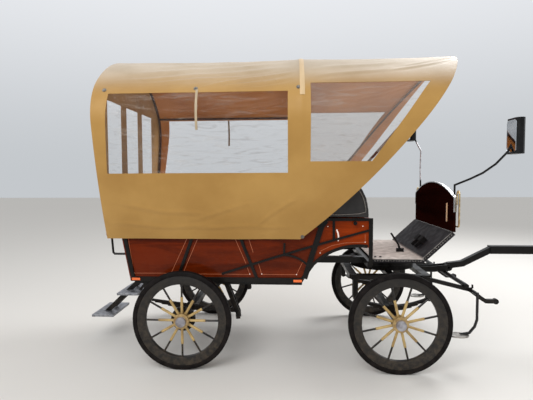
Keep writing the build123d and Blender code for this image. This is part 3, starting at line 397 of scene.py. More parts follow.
def mirrorPaint(name):
    # black cases and arms; the far arm's upper part is bright steel, painted near white as painted sunlight
    # on it
    f = Finish(name, Specular_IOR_Level=0.2)
    # painted highlight: the far arm between these heights is painted pale, sunlit steel
    sunlitSteel = f.math("MULTIPLY", f.up(1.60, 1.62), f.up(2.04, 2.05, 1.0, 0.0))
    sunlitSteel = f.math("MULTIPLY", sunlitSteel, f.spread(f.axis(f.place, 1), 0.0, 0.1))
    cloud = f.mottle(12.0, tone(9, 9, 10), tone(20, 20, 22))
    steel = f.mottle(30.0, tone(170, 172, 178), tone(226, 228, 232))
    f.link(f.mix(sunlitSteel, cloud["Color"], steel["Color"]), "Base Color")
    f.link(f.math("MULTIPLY", sunlitSteel, 0.6), "Metallic")
    f.gloss(cloud["Value"], 0.3, 0.42)
    return f.material


def paint(name, dark, light, dustTop, dust, rough=(0.3, 0.5)):
    f = Finish(name, Coat_Weight=0.1, Coat_Roughness=0.15, Specular_IOR_Level=0.15)
    cloud = f.mottle(5.0, dark, light)
    mask = f.dusty(cloud["Color"], tone(120, 106, 88), dustTop, dust)
    f.gloss(f.math("ADD", cloud["Value"], mask, clamp=True), *rough)
    return f.material


def grained(f, scale, dark, light, dust, dustTop, dustAmount):
    # what the varnished boards share: grain, a little dust and a satin gloss
    grain = f.use("grain", Scale=scale, Dark=dark, Light=light)
    f.gloss(f.dusty(grain["Color"], dust, dustTop, dustAmount), 0.28, 0.5)
    f.bump(grain["Height"], 0.05, 0.0004)
    return f.material


def varnish(name, dark, light, scale=5.0, coat=0.35, dust=0.08, shine=0.25, across=False):
    f = Finish(name, Coat_Weight=coat, Coat_Roughness=0.1, Specular_IOR_Level=shine)
    if across:  # boards whose grain runs from side to side
        f.place = f.mapped(f.place, Rotation=(0, 0, math.pi / 2))
    return grained(f, scale, dark, light, tone(150, 110, 80), 1.3, dust)


def bodyVarnish(name):
    # the coach varnish with painted light: round the driver's box it is painted lighter and more orange
    # where the sun caught the panels, redder and darker behind
    f = Finish(name, Coat_Weight=0.1, Coat_Roughness=0.06, Specular_IOR_Level=0.06)
    # painted highlight: this mask lightens the panels from the rear seats forward, for sun on the front
    # panels
    front = f.ahead(0.95, 1.5)
    dark = f.mix(front, tone(70, 18, 0), tone(120, 40, 2))
    light = f.mix(front, tone(100, 31, 2), tone(152, 55, 6))
    return grained(f, 5.0, dark, light, tone(150, 104, 76), 1.2, 0.08)


wheelSize = {
    "axleHeight": middle("tyre_rear_right").z,
    "creamRadius": 0.204,
    "capRadius": 0.0435,
    "flangeRadius": 0.0675,
}


def withinRadius(f, station, radius):
    centre = (rearAxle + station, 0, wheelSize["axleHeight"])
    return f.use("ring", Centre=centre, Radius=wheelSize[radius])["Mask"]


def wheelPaint(name, station):
    # cream spoke feet, black spokes and felloe
    f = Finish(name, Coat_Weight=0.15, Coat_Roughness=0.1, Specular_IOR_Level=0.3)
    cloud = f.mottle(9.0, tone(150, 122, 74), tone(196, 168, 110))
    colour = f.mix(withinRadius(f, station, "creamRadius"), tone(22, 19, 17), cloud["Color"])
    mask = f.dusty(colour, tone(112, 96, 76), 0.9, 0.3)
    f.gloss(f.math("ADD", cloud["Value"], mask, clamp=True), 0.3, 0.5)
    return f.material


def hubPaint(name, station):
    # bright cap, cream flange, black barrel and drum
    f = Finish(name, Coat_Weight=0.2, Coat_Roughness=0.1, Specular_IOR_Level=0.4)
    cap = withinRadius(f, station, "capRadius")
    cloud = f.mottle(30.0, tone(140, 112, 70), tone(186, 158, 104))
    painted = f.mix(withinRadius(f, station, "flangeRadius"), tone(22, 20, 19), cloud["Color"])
    steel = f.mottle(14.0, tone(118, 114, 118), tone(186, 186, 194))
    f.link(f.mix(cap, painted, steel["Color"]), "Base Color")
    f.link(f.math("MULTIPLY", cap, 0.7), "Metallic")
    f.gloss(steel["Value"], 0.3, 0.5)
    return f.material


def rubber(name, dust=0.1):
    f = Finish(name, Specular_IOR_Level=0.06)
    cloud = f.mottle(14.0, tone(16, 14, 14), tone(28, 25, 25))
    f.gloss(f.dusty(cloud["Color"], tone(84, 72, 62), 1.0, dust), 0.6, 0.85)
    f.bump(cloud["Value"], 0.1, 0.0008)
    return f.material


def leather(name, dark, light, scale=240.0):
    f = Finish(name, Coat_Weight=0.1, Coat_Roughness=0.3, Specular_IOR_Level=0.35)
    cloud = f.mottle(7.0, dark, light)
    f.link(cloud["Color"], "Base Color")
    f.gloss(cloud["Value"], 0.4, 0.55)
    f.bump(f.use("leather", Scale=scale)["Height"], 0.25, 0.0009)
    return f.material


def metal(name, dark, light, rough=(0.2, 0.38), dust=0.15, metallic=1.0):
    f = Finish(name, Metallic=metallic)
    cloud = f.mottle(24.0, dark, light)
    mask = f.dusty(cloud["Color"], tone(120, 108, 92), 1.4, dust)
    f.gloss(f.math("ADD", cloud["Value"], mask, clamp=True), *rough)
    return f.material


def boardPlate(name):
    # the footboard with painted light: the level plate underfoot is painted pale, where the sun reflects
    # from it, and the toe board ahead of the bend dark, as in shade
    f = Finish(name, Specular_IOR_Level=0.12)
    # painted light: this mask marks the toe board, painted dark as in shade beside the sunlit plate
    toe = f.math("MAXIMUM", f.ahead(frontAxle + 0.225, frontAxle + 0.25), f.up(0.926, 0.930, 1.0, 0.0))
    pale = f.mottle(18.0, tone(176, 166, 158), tone(214, 206, 200))
    dark = f.mottle(9.0, tone(30, 28, 31), tone(46, 44, 47))
    f.link(f.mix(toe, pale["Color"], dark["Color"]), "Base Color")
    f.gloss(pale["Value"], 0.5, 0.7)
    return f.material


def stepSteel(name, low, high):
    # black tube legs with a worn bright plate between the two heights
    f = Finish(name, Coat_Weight=0.1, Specular_IOR_Level=0.3)
    plate = f.math("MULTIPLY", f.up(low - 0.002, low), f.up(high, high + 0.002, 1.0, 0.0))
    cloud = f.mottle(20.0, tone(120, 116, 112), tone(190, 186, 180))
    f.link(f.mix(plate, tone(22, 21, 21), cloud["Color"]), "Base Color")
    f.link(f.math("MULTIPLY", plate, 0.8), "Metallic")
    f.gloss(cloud["Value"], 0.3, 0.5)
    return f.material


def plastic(name, colour, rough, **sockets):
    f = Finish(name, **sockets)
    cloud = f.mottle(12.0, colour, tuple(min(1, c * 1.25) for c in colour[:3]) + (1,))
    f.link(cloud["Color"], "Base Color")
    f.gloss(cloud["Value"], rough, rough + 0.1)
    return f.material


lensCoat = {"Coat_Weight": 0.5, "Coat_Roughness": 0.05}
finishes = {
    # the outer cloth's second pair of colours is its roof, painted paler as painted light from the sky
    "tarpaulin": tarpaulin("tarpaulinOuter", tone(156, 116, 52), tone(174, 134, 68),
                           (tone(168, 150, 124), tone(186, 170, 148))),
    # painted light: the inner face is painted a deeper orange and glows, and the rear curtain glows a
    # little, for light shining through the cloth
    "tarpaulinInside": tarpaulin("tarpaulinInner", tone(150, 88, 34), tone(176, 110, 48), glow=0.26),
    "curtainCloth": tarpaulin("curtainCloth", tone(152, 112, 52), tone(170, 130, 68), glow=0.08),
    # the seam cover is a real strip over the middle hoop, painted paler than the cloth partly as a painted
    # highlight along its edge
    "seamTape": tarpaulin("seamTape", tone(182, 152, 108), tone(204, 176, 134)),
    "webbing": tarpaulin("webbing", tone(150, 132, 104), tone(176, 158, 130)),
    "film": clearFilm("windowFilm", 0.05, 0.26),
    "rearFilm": clearFilm("rearWindowFilm", 0.10, 0.10),
    "varnish": bodyVarnish("varnishedBoard"),
    "plainBoard": varnish("plainBoard", tone(70, 44, 26), tone(104, 70, 44)),
    "dashBoard": varnish("dashBoard", tone(20, 6, 4), tone(38, 12, 7), 3.0, 0.0, 0.02, 0.0, True),
    "endBoard": varnish("endBoard", tone(72, 20, 2), tone(112, 36, 5), 5.0, 0.1, 0.08, 0.06, True),
    "blackFrame": paint("blackFrame", tone(7, 6, 5), tone(16, 13, 11), 1.3, 0.05),
    "blackSteel": paint("blackSteel", tone(8, 7, 7), tone(20, 17, 16), 1.0, 0.15),
    "bowPaint": paint("bowPaint", tone(52, 26, 18), tone(84, 42, 26), 0.5, 0.0),
    "pole": paint("polePaint", tone(34, 31, 27), tone(58, 53, 47), 0.4, 0.0, (0.35, 0.55)),
    "rearWheel": wheelPaint("rearWheelPaint", 0),
    "frontWheel": wheelPaint("frontWheelPaint", frontAxle),
    "rearHub": hubPaint("rearHubPaint", 0),
    "frontHub": hubPaint("frontHubPaint", frontAxle),
    "rubber": rubber("tyreRubber"),
    "padRubber": rubber("pedalRubber", 0.25),
    "leather": leather("blackLeather", tone(24, 22, 22), tone(44, 41, 40)),
    "piping": leather("lightPiping", tone(96, 92, 88), tone(140, 136, 130), 900.0),
    "floorPlate": boardPlate("floorPlate"),
    "stepSteel": stepSteel("stepSteel", 0.2795, 0.2925),
    "plate": metal("treadPlate", tone(112, 114, 120), tone(172, 174, 180), (0.3, 0.5), 0.2, 0.85),
    "steel": metal("brightSteel", tone(150, 150, 150), tone(216, 216, 216)),
    "button": metal("buttonSteel", tone(92, 88, 84), tone(150, 146, 140), (0.25, 0.4), 0.0, 0.85),
    "brass": metal("polishedBrass", tone(176, 148, 104), tone(228, 206, 160), (0.16, 0.3), 0.1),
    "mirrorGlass": metal("mirrorGlass", tone(196, 200, 204), tone(214, 218, 222), (0.02, 0.06), 0.0),
    "mirrorCase": mirrorPaint("mirrorCase"),
    "lampRed": plastic("lampRed", tone(104, 12, 8), 0.15, **lensCoat),
    "amber": plastic("amberLens", tone(226, 100, 24), 0.2, **lensCoat),
    "pinstripe": plastic("pinstripe", tone(156, 84, 50), 0.4),
    "brightDot": plastic("brightDot", tone(232, 214, 204), 0.3),
    "cream": plastic("creamStrip", tone(206, 168, 130), 0.35),
}


def wheelNodes(part, ends=("front", "rear")):
    return [f"{part}_{end}_{side}" for end in ends for side in ("right", "left")]


# what each CAD node is finished with
nodeFinish = {
    "blackSteel": ["axle_front", "axle_rear", "springs_front", "springs_rear", "chassis", "front_members",
                   "turntable", "fore_frame", "brake_lever", "grab_handles", "pole_iron", "step_stringers"],
    "stepSteel": ["driver_steps"],
    "blackFrame": ["side_frame_right", "side_frame_left"],
    "varnish": ["side_panel_right", "side_panel_left", "seat_box"],
    "endBoard": ["rear_wall", "rear_door", "arch_board"],
    "plainBoard": ["floor", "benches"],
    "leather": ["bench_cushions", "bench_backs", "driver_cushion", "driver_back"],
    "floorPlate": ["footboard"],
    "plate": ["rear_steps"],
    "dashBoard": ["dash"],
    "steel": ["dash_trim", "pole_ferrule"],
    "brass": ["rein_rails"],
    "mirrorCase": ["mirrors"],
    "padRubber": ["pedals"],
    "lampRed": ["rear_lamps"],
    "amber": ["side_reflectors"],
    "bowPaint": ["canopy_hoops", "canopy_bow", "canopy_rails"],
    "pole": ["pole"],
    "rubber": wheelNodes("tyre"),
    "rearWheel": wheelNodes("wheel", ["rear"]),
    "frontWheel": wheelNodes("wheel", ["front"]),
    "rearHub": wheelNodes("hub", ["rear"]),
    "frontHub": wheelNodes("hub", ["front"]),
}
# how far the worn edges of CAD nodes are rounded
edgeRound = {
    0.007: [*wheelNodes("tyre"), "mirrors"],
    0.003: [*wheelNodes("wheel"), "pole", "pole_iron", "dash", "pedals", "rear_lamps"],
    0.0015: [*wheelNodes("hub"), "side_frame_right", "side_frame_left", "footboard", "rear_steps",
             "seat_box", "rear_door", "side_reflectors"],
}
for finish, names in nodeFinish.items():
    for name in names:
        nodes[name].data.materials.clear()
        nodes[name].data.materials.append(finishes[finish])
for width, names in edgeRound.items():
    for name in names:
        addModifier(nodes[name], "WELD", merge_threshold=0.00002)
        addModifier(nodes[name], "BEVEL", width=width, segments=2, limit_method="ANGLE",
                    angle_limit=math.radians(38))
print("finishes set")


# Canopy: one sheet over the hoops, from hem to hem, with clear windows

canopy = {
    "rear": -0.690,
    "frontEdge": [(1.010, 1.110), (1.765, 1.835), (2.420, 2.766)],  # station, height: an arc
    "hem": (0.634, 1.110),  # across, height
    "shoulder": (0.892, 2.080),
    "sideBow": 0.023,
    "crown": 2.766,
    "crownOver": 0.196,
    "thickness": 0.0025,
    "cell": 0.016,
    "merge": 0.0004,  # points nearer than this become one
    "slantReach": 0.05,  # faces this near a window's slanted end are split along it
    "smooth": 50,  # degrees
    # each window's corners: foot at the rear and front, head at the front and rear
    "windows": [
        [(-0.600, 1.680), (0.908, 1.680), (0.908, 2.330), (-0.552, 2.330)],
        [(1.090, 1.770), (1.580, 1.770), (2.030, 2.400), (1.090, 2.400)],
    ],
    "hoops": (-0.670, 1.020),
    "bow": [(1.080, 1.215), (2.380, 2.735)],
    "railHeight": 2.348,
    "roofSag": 0.020,
    "sideSag": 0.004,
    "ripple": 0.0035,
    "hemWave": 0.005,
    "hemReach": 0.55,  # how far up the wave of the hem goes
    "frontBay": 0.6,  # share of the sag and ripple ahead of the middle hoop
    "hoopRidge": 0.004,
    "ridgeWidth": 0.022,
    "ridgeFoot": (1.0, 0.2),  # length up the section where it starts, and over which it rises
    # start and end station and length up the section, half width, height
    "folds": [
        (-0.640, 1.300, 0.10, 1.375, 0.013, 0.007),
        (-0.620, 1.345, 0.62, 1.470, 0.018, 0.009),
        (-0.560, 1.400, 0.90, 1.600, 0.024, 0.010),
        (0.140, 1.290, 0.980, 1.520, 0.015, 0.011),
        (0.230, 1.286, 0.980, 1.415, 0.012, 0.009),
        (0.300, 1.282, 0.980, 1.335, 0.010, 0.006),
        (-0.500, 1.540, 0.94, 1.740, 0.034, 0.009),
        (-0.300, 1.700, 0.96, 1.880, 0.040, 0.008),
        (-0.600, 1.900, 0.60, 1.960, 0.045, 0.006),
        (1.080, 1.420, 1.750, 1.560, 0.020, 0.006),
        (1.060, 1.560, 1.900, 1.740, 0.030, 0.006),
        (1.700, 1.500, 2.300, 1.720, 0.016, 0.006),
        (1.850, 1.620, 2.340, 1.800, 0.014, 0.005),
        # below the windows
        (-0.600, 0.330, 0.300, 0.210, 0.018, 0.004),
        (0.050, 0.180, 0.620, 0.330, 0.016, 0.004),
        (0.620, 0.130, 1.000, 0.380, 0.016, 0.005),
        (-0.660, 0.140, 0.400, 0.105, 0.016, 0.004),
        (0.100, 0.105, 0.980, 0.125, 0.014, 0.004),
    ],
    "foldShift": 0.07,  # the left side's folds lie this far behind the right side's
    "foldWander": 0.012,
    "foldTrough": (0.35, 2.1),  # depth and distance of the dip beside a fold, as shares of it
    "filmLap": 0.018,
    "filmCell": 0.022,
    "filmInset": 0.0045,
    "filmWave": 0.007,
}


def circleThrough(a, b, c):
    ax, ay, bx, by = a[0] - c[0], a[1] - c[1], b[0] - c[0], b[1] - c[1]
    d = 2 * (ax * by - ay * bx)
    ux = (by * (ax**2 + ay**2) - ay * (bx**2 + by**2)) / d
    uy = (ax * (bx**2 + by**2) - bx * (ax**2 + ay**2)) / d
    return c[0] + ux, c[1] + uy, math.hypot(ux, uy)


class Section:
    # the canopy's half section, hem to crown, as three tangent arcs; s is the length along it

    def __init__(self, c):
        (hy, hz), (sy, sz) = c["hem"], c["shoulder"]
        chord = math.hypot(sy - hy, sz - hz)
        sideRadius = chord**2 / (8 * c["sideBow"]) + c["sideBow"] / 2
        lean = math.atan2(sy - hy, sz - hz)
        half = math.asin(chord / 2 / sideRadius)
        a = lean - half
        r = (c["crown"] - c["crownOver"] - sz) / (1 + math.sin(a))
        shoulderCentre = (sy - r * math.cos(a), sz + r * math.sin(a))
        over = c["crown"] - shoulderCentre[1] - r
        drop = (shoulderCentre[0] ** 2 - over**2) / (2 * over)
        crownCentre = (0, shoulderCentre[1] - drop)
        crownAngle = math.atan2(drop, shoulderCentre[0])
        sideCentre = (sy - sideRadius * math.cos(a), sz + sideRadius * math.sin(a))
        self.arcs = [
            (sideCentre, sideRadius, -(lean + half), -a),
            (shoulderCentre, r, -a, crownAngle),
            (crownCentre, c["crown"] - crownCentre[1], crownAngle, math.pi / 2),
        ]
        self.lengths = [radius * (end - start) for _, radius, start, end in self.arcs]
        self.half = sum(self.lengths)

    def at(self, s):
        # y, z and the outward normal at a length s from the hem, on the side where y is positive
        for (centre, radius, start, _), length in zip(self.arcs, self.lengths):
            if s <= length or length is self.lengths[-1]:
                angle = start + s / radius
                dy, dz = math.cos(angle), math.sin(angle)
                return centre[0] + radius * dy, centre[1] + radius * dz, dy, dz
            s -= length

    def lengthAt(self, z):
        low, high = 0.0, self.half
        for _ in range(40):
            s = (low + high) / 2
            if self.at(s)[1] < z:
                low = s
            else:
                high = s
        return low


section = Section(canopy)
full = 2 * section.half
railLength = section.lengthAt(canopy["railHeight"])
edgeX, edgeZ, edgeR = circleThrough(*canopy["frontEdge"])
edgeTurn = 1 if canopy["frontEdge"][1][0] > edgeX else -1


def frontEdge(z):
    # station of the canopy's front edge at this height
    return edgeX + edgeTurn * math.sqrt(max(0.0, edgeR**2 - (z - edgeZ) ** 2))


def steps(low, high, cell, marks=()):
    # even steps from low to high, with a step exactly at each mark
    stops = sorted({low, high, *[m for m in marks if low < m < high]})
    out = [low]
    for a, b in zip(stops, stops[1:]):
        n = max(1, round((b - a) / cell))
        out += [a + (b - a) * k / n for k in range(1, n + 1)]
    return out


def sheetGrid(name, columns, rows):
    # a flat grid with a vertex for each column and row; x holds the column, y the row
    nx, ny = len(columns) - 1, len(rows) - 1
    obj = startPiece(name, bpy.ops.mesh.primitive_grid_add, x_subdivisions=nx, y_subdivisions=ny, size=1)
    for v in obj.data.vertices:
        v.co.x = columns[round((v.co.x + 0.5) * nx)]
        v.co.y = rows[round((v.co.y + 0.5) * ny)]
    return obj


def arch(value, low, high):
    # 0 at both ends and 1 halfway between them
    t = (value - low) / (high - low)
    return math.sin(math.pi * t) if 0 < t < 1 else 0.0


def noiseAt(x, y, z):
    return noise.noise(Vector((x, y, z)))


def foldHeight(station, s, side):
    c = canopy
    depth, beside = c["foldTrough"]
    shift = 0.0 if side < 0 else c["foldShift"]
    total = 0.0
    for a, sa, b, sb, width, height in c["folds"]:
        along = arch(station, a - shift, b - shift)
        if along:
            line = sa + (sb - sa) * (station - a + shift) / (b - a)
            off = (s - line + c["foldWander"] * math.sin(station * 9 + 5 * a)) / width
            profile = math.exp(-off * off) - depth * math.exp(-((off + beside) ** 2))
            total += height * min(1, 1.6 * along) * profile
    return total


def clothPush(station, s, side):
    # how far the cloth stands out from the section; it sags and ripples only between its supports
    c = canopy
    (bowX, bowZ), (bowTopX, bowTopZ) = c["bow"]
    bowStation = bowX + (section.at(s)[1] - bowZ) * (bowTopX - bowX) / (bowTopZ - bowZ)
    rearHoop, midHoop = c["hoops"]
    between = arch(station, rearHoop, midHoop)
    if station > midHoop and bowStation > midHoop + 0.1:
        between = c["frontBay"] * arch(station, midHoop, bowStation)
    push = foldHeight(station, s, side)
    if s > railLength:
        free = between * arch(s, railLength, section.half)
        push -= c["roofSag"] * free
    else:
        free = between
        push -= c["sideSag"] * between * arch(s, 0, railLength)
    wave = noiseAt(station * 2.6, side * s * 3.4, 9.0)
    fine = noiseAt(station * 7.0 + s * 3.0, s * 5.0, 2.0 + side)
    push += free * c["ripple"] * (wave + 0.6 * fine)
    low = max(0.0, 1 - s / c["hemReach"])
    swing = math.sin(station * 5.5 + 2.5 * noiseAt(station, 0, side))
    push += c["hemWave"] * low * between * swing
    overHoop = math.exp(-(((station - midHoop) / c["ridgeWidth"]) ** 2))
    start, rise = c["ridgeFoot"]
    return push + c["hoopRidge"] * overHoop * min(1, max(0, (s - start) / rise))


def placeOnSection(obj, offset=0.0, push=clothPush):
    # wraps a flat sheet, x station and y length along the section from the right hem, over the hoops
    for v in obj.data.vertices:
        station, s = v.co.x, v.co.y
        side = -1 if s <= full / 2 else 1
        s = s if side < 0 else full - s
        y, z, ny, nz = section.at(s)
        station = min(station, frontEdge(z))
        out = offset + push(station, s, side)
        v.co = (rearAxle + station, side * (y + ny * out), z + nz * out)


def windowSpan(outline):
    # the window's stations and its lengths along the section on the right side
    xs = [p[0] for p in outline]
    return min(xs), max(xs), section.lengthAt(outline[0][1]), section.lengthAt(outline[2][1])


def slantAt(outline, s, rear=False):
    # station of the window's front or rear edge at a length along the section
    low, high = section.lengthAt(outline[1][1]), section.lengthAt(outline[2][1])
    a, b = (outline[0][0], outline[3][0]) if rear else (outline[1][0], outline[2][0])
    return a + (b - a) * (s - low) / (high - low)


def cutSlant(bm, foot, head, lowS, highS):
    # splits the faces along a window's slanted end
    a, b = Vector((foot, lowS, 0)), Vector((head, highS, 0))
    near = []
    reach = canopy["slantReach"]
    for f in bm.faces:
        p = f.calc_center_median()
        inReach = min(foot, head) - reach < p.x < max(foot, head) + reach
        if inReach and min(lowS, highS) < p.y < max(lowS, highS):
            near.append(f)
    near += list({e for f in near for e in f.edges}) + list({v for f in near for v in f.verts})
    across = (b - a).cross(Vector((0, 0, 1)))
    bmesh.ops.bisect_plane(bm, geom=near, plane_co=a, plane_no=across, dist=1e-6)


def cutWindow(bm, outline):
    _, _, low, high = windowSpan(outline)
    for foot, head in ((outline[1][0], outline[2][0]), (outline[0][0], outline[3][0])):
        if foot != head:
            cutSlant(bm, foot, head, low, high)
            cutSlant(bm, foot, head, full - low, full - high)
    holes = []
    for f in bm.faces:
        p = f.calc_center_median()
        s = min(p.y, full - p.y)
        if low < s < high and slantAt(outline, s, rear=True) < p.x < slantAt(outline, s):
            holes.append(f)
    bmesh.ops.delete(bm, geom=holes, context="FACES")


def makeCanopy():
    c = canopy
    spans = [windowSpan(w) for w in c["windows"]]
    stations = [x for a, b, _, _ in spans for x in (a, b)] + list(c["hoops"])
    rows = [s for _, _, low, high in spans for s in (low, high, full - low, full - high)]
    front = c["frontEdge"][2][0]
    obj = sheetGrid("canopyCloth", steps(c["rear"], front, c["cell"], stations),
                    steps(0, full, c["cell"], rows + [full / 2]))
    with meshOf(obj) as bm:
        for outline in c["windows"]:
            cutWindow(bm, outline)
    placeOnSection(obj)
    with meshOf(obj) as bm:
        mergeClose(bm, c["merge"])
        bmesh.ops.recalc_face_normals(bm, faces=bm.faces)
        area = sum(f.calc_area() for f in bm.faces)
    top = max(obj.data.polygons, key=lambda p: p.center.z)
    if top.normal.z < 0:
        obj.data.flip_normals()
    for finish in ("tarpaulin", "tarpaulinInside"):
        obj.data.materials.append(finishes[finish])
    addModifier(obj, "SOLIDIFY", thickness=c["thickness"], offset=-1,
                material_offset=1, material_offset_rim=0)
    applyModifiers(obj)
    finishPiece(obj, "canopyCloth", smooth=c["smooth"])
    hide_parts("canopy_side_right", "canopy_side_left", "canopy_roof")
    print("canopy cloth", len(obj.data.polygons), "faces, area", round(area, 2))


def makeSideWindows():
    # clear film welded behind each opening, with a little lap and its own waves
    c = canopy
    lap = c["filmLap"]
    made = []
    for outline in c["windows"]:
        back, front, low, high = windowSpan(outline)

        def filmPush(station, s, side):
            wave = noiseAt(station * 2.1, side * 1.7 + 5.0, s * 6.5)
            free = arch(station, back, front) * arch(s, low, high)
            return clothPush(station, s, side) + c["filmWave"] * wave * free

        columns = steps(back - lap, front + lap, c["filmCell"])
        rows = steps(low - lap, high + lap, c["filmCell"])
        for sideRows in (rows, [full - s for s in reversed(rows)]):
            obj = sheetGrid("windowFilm", columns, sideRows)
            for v in obj.data.vertices:
                v.co.x = min(v.co.x, slantAt(outline, min(v.co.y, full - v.co.y)) + lap)
            placeOnSection(obj, -c["filmInset"], filmPush)
            with meshOf(obj) as bm:
                mergeClose(bm, c["merge"])
            made.append(obj)
    obj = joinPieces(made)
    finishPiece(obj, "windowFilm", "film", smooth=60)
    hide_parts("side_windows")


makeCanopy()
makeSideWindows()


# Strips and small cloth on the canopy: seam cover, roll-up straps and rear curtain

trim = {
    "seamCover": (1.004, 1.044),  # stations
    "seamFoot": 2.295,
    "seamCells": (0.008, 0.022),  # along the canopy, round it
    "seamLift": 0.0012,
    "seamThickness": 0.0016,
    "strapStation": 0.176,
    "strapWidth": 0.020,
    "strapHeights": (2.027, 2.333),
    "strapCell": 0.02,
    "strapThickness": 0.0018,
    "strapLift": 0.0035,
    "curtainStation": -0.6882,
    "curtainHalf": 0.9,  # across
    "curtainCell": 0.03,
    "curtainMerge": 0.0008,
    "curtainStrips": [(-0.58, -0.28), (-0.15, 0.15), (0.28, 0.58)],  # across
    "curtainOpening": (1.68, 2.33),
    "curtainFold": 0.009,
    "curtainThickness": 0.0015,
    "curtainFoot": 0.001,  # above the hem
    "curtainHead": 0.004,  # below the crown
    "curtainInside": 0.001,  # inside the canopy's section
    "curtainRim": (0.05, 0.08),  # flat where it lies against the hoop, then easing into its folds
    "curtainCalm": (0.35, 0.06),  # share of the folds beside the windows, and how far past them
    "rearFilmStep": 0.002,
    "rearFilmLap": 0.012,
    "rearFilmWave": 0.007,
}


def makeSeamCover():
    t = trim
    foot = section.lengthAt(t["seamFoot"])
    back, front = t["seamCover"]
    narrow, wide = t["seamCells"]
    obj = sheetGrid("seamCover", steps(back, front, narrow), steps(foot, full - foot, wide, [full / 2]))
    placeOnSection(obj, t["seamLift"] + t["seamThickness"])
    addModifier(obj, "SOLIDIFY", thickness=t["seamThickness"], offset=-1)
    applyModifiers(obj)
    finishPiece(obj, "seamCover", "seamTape", smooth=50)


def makeStraps():
    t = trim
    low, high = (section.lengthAt(z) for z in t["strapHeights"])
    half = t["strapWidth"] / 2
    station = t["strapStation"]
    columns = [station - half, station, station + half]
    obj = sheetGrid("rollUpStraps", columns, steps(low, high + t["strapCell"], t["strapCell"]))
    placeOnSection(obj, t["strapLift"])
    addModifier(obj, "SOLIDIFY", thickness=t["strapThickness"], offset=-1)
    addModifier(obj, "MIRROR", use_axis=(False, True, False), use_mirror_merge=False)
    applyModifiers(obj)
    finishPiece(obj, "rollUpStraps", "webbing", smooth=40)


outlinePoints = [section.at(section.half * k / 260)[:2] for k in range(261)]


def insideOutline(y, z):
    for (ya, za), (yb, zb) in zip(outlinePoints, outlinePoints[1:]):
        if za <= z <= zb and zb > za:
            return abs(y) <= ya + (yb - ya) * (z - za) / (zb - za)
    return False


def makeRearCurtain():
    # cut to the canopy's section, hung inside its rear end, gathered a little below the windows
    t = trim
    low, high = t["curtainOpening"]
    flatTo, easeOver = t["curtainRim"]
    calm, calmReach = t["curtainCalm"]
    half, cell = t["curtainHalf"], t["curtainCell"]
    foot, crown = canopy["hem"][1] + t["curtainFoot"], canopy["crown"] - t["curtainHead"]
    within = t["curtainInside"]
    columns = steps(-half, half, cell, [y for strip in t["curtainStrips"] for y in strip])
    obj = sheetGrid("rearCurtain", columns, steps(foot, crown + cell, cell, [low, high]))
    with meshOf(obj) as bm:
        holes = []
        for f in bm.faces:
            p = f.calc_center_median()
            inWindow = low < p.y < high and any(a < p.x < b for a, b in t["curtainStrips"])
            if inWindow or not any(insideOutline(v.co.x, v.co.y) for v in f.verts):
                holes.append(f)
        bmesh.ops.delete(bm, geom=holes, context="FACES")
        for v in bm.verts:
            y, z = v.co.x, v.co.y
            near = min(outlinePoints, key=lambda p: (p[0] - abs(y)) ** 2 + (p[1] - z) ** 2)
            inside = math.hypot(near[0] - abs(y), near[1] - z)
            if not insideOutline(y, z):
                y, z = (-1 if y < 0 else 1) * (near[0] - within), near[1] - within
                inside = 0.0
            rim = min(1, max(0, (inside - flatTo) / easeOver))
            window = calm if low - calmReach < z < high + calmReach else 1
            fold = math.sin(y * 23 + 1.5 * noiseAt(y * 3, z, 4)) + 0.6 * noiseAt(y * 9, z * 1.6, 1)
            out = t["curtainFold"] * (0.6 + 0.6 * fold) * rim * window
            v.co = (rearAxle + t["curtainStation"] + out, y, z)
        mergeClose(bm, t["curtainMerge"])
        bmesh.ops.recalc_face_normals(bm, faces=bm.faces)
        area = sum(f.calc_area() for f in bm.faces)
    addModifier(obj, "SUBSURF", subdivision_type="SIMPLE", levels=1, render_levels=1)
    addModifier(obj, "SOLIDIFY", thickness=t["curtainThickness"], offset=0)
    applyModifiers(obj)
    finishPiece(obj, "rearCurtain", "curtainCloth", smooth=50)
    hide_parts("rear_curtain")

    lap = t["rearFilmLap"]
    made = []
    for a, b in t["curtainStrips"]:
        film = sheetGrid("rearFilm", steps(a - lap, b + lap, cell), steps(low - lap, high + lap, cell))
        for v in film.data.vertices:
            y, z = v.co.x, v.co.y
            wave = t["rearFilmWave"] * noiseAt(y * 3.0, z * 2.4, a) * arch(y, a, b) * arch(z, low, high)
            v.co = (rearAxle + t["curtainStation"] + t["rearFilmStep"] + wave, y, z)
        made.append(film)
    film = joinPieces(made)
    finishPiece(film, "rearFilm", "rearFilm", smooth=60)
    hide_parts("rear_windows")
    print("rear curtain and film hung")


makeSeamCover()
makeStraps()
makeRearCurtain()


# Padded seats: each starts a little smaller than its CAD solid and is blown up as cloth

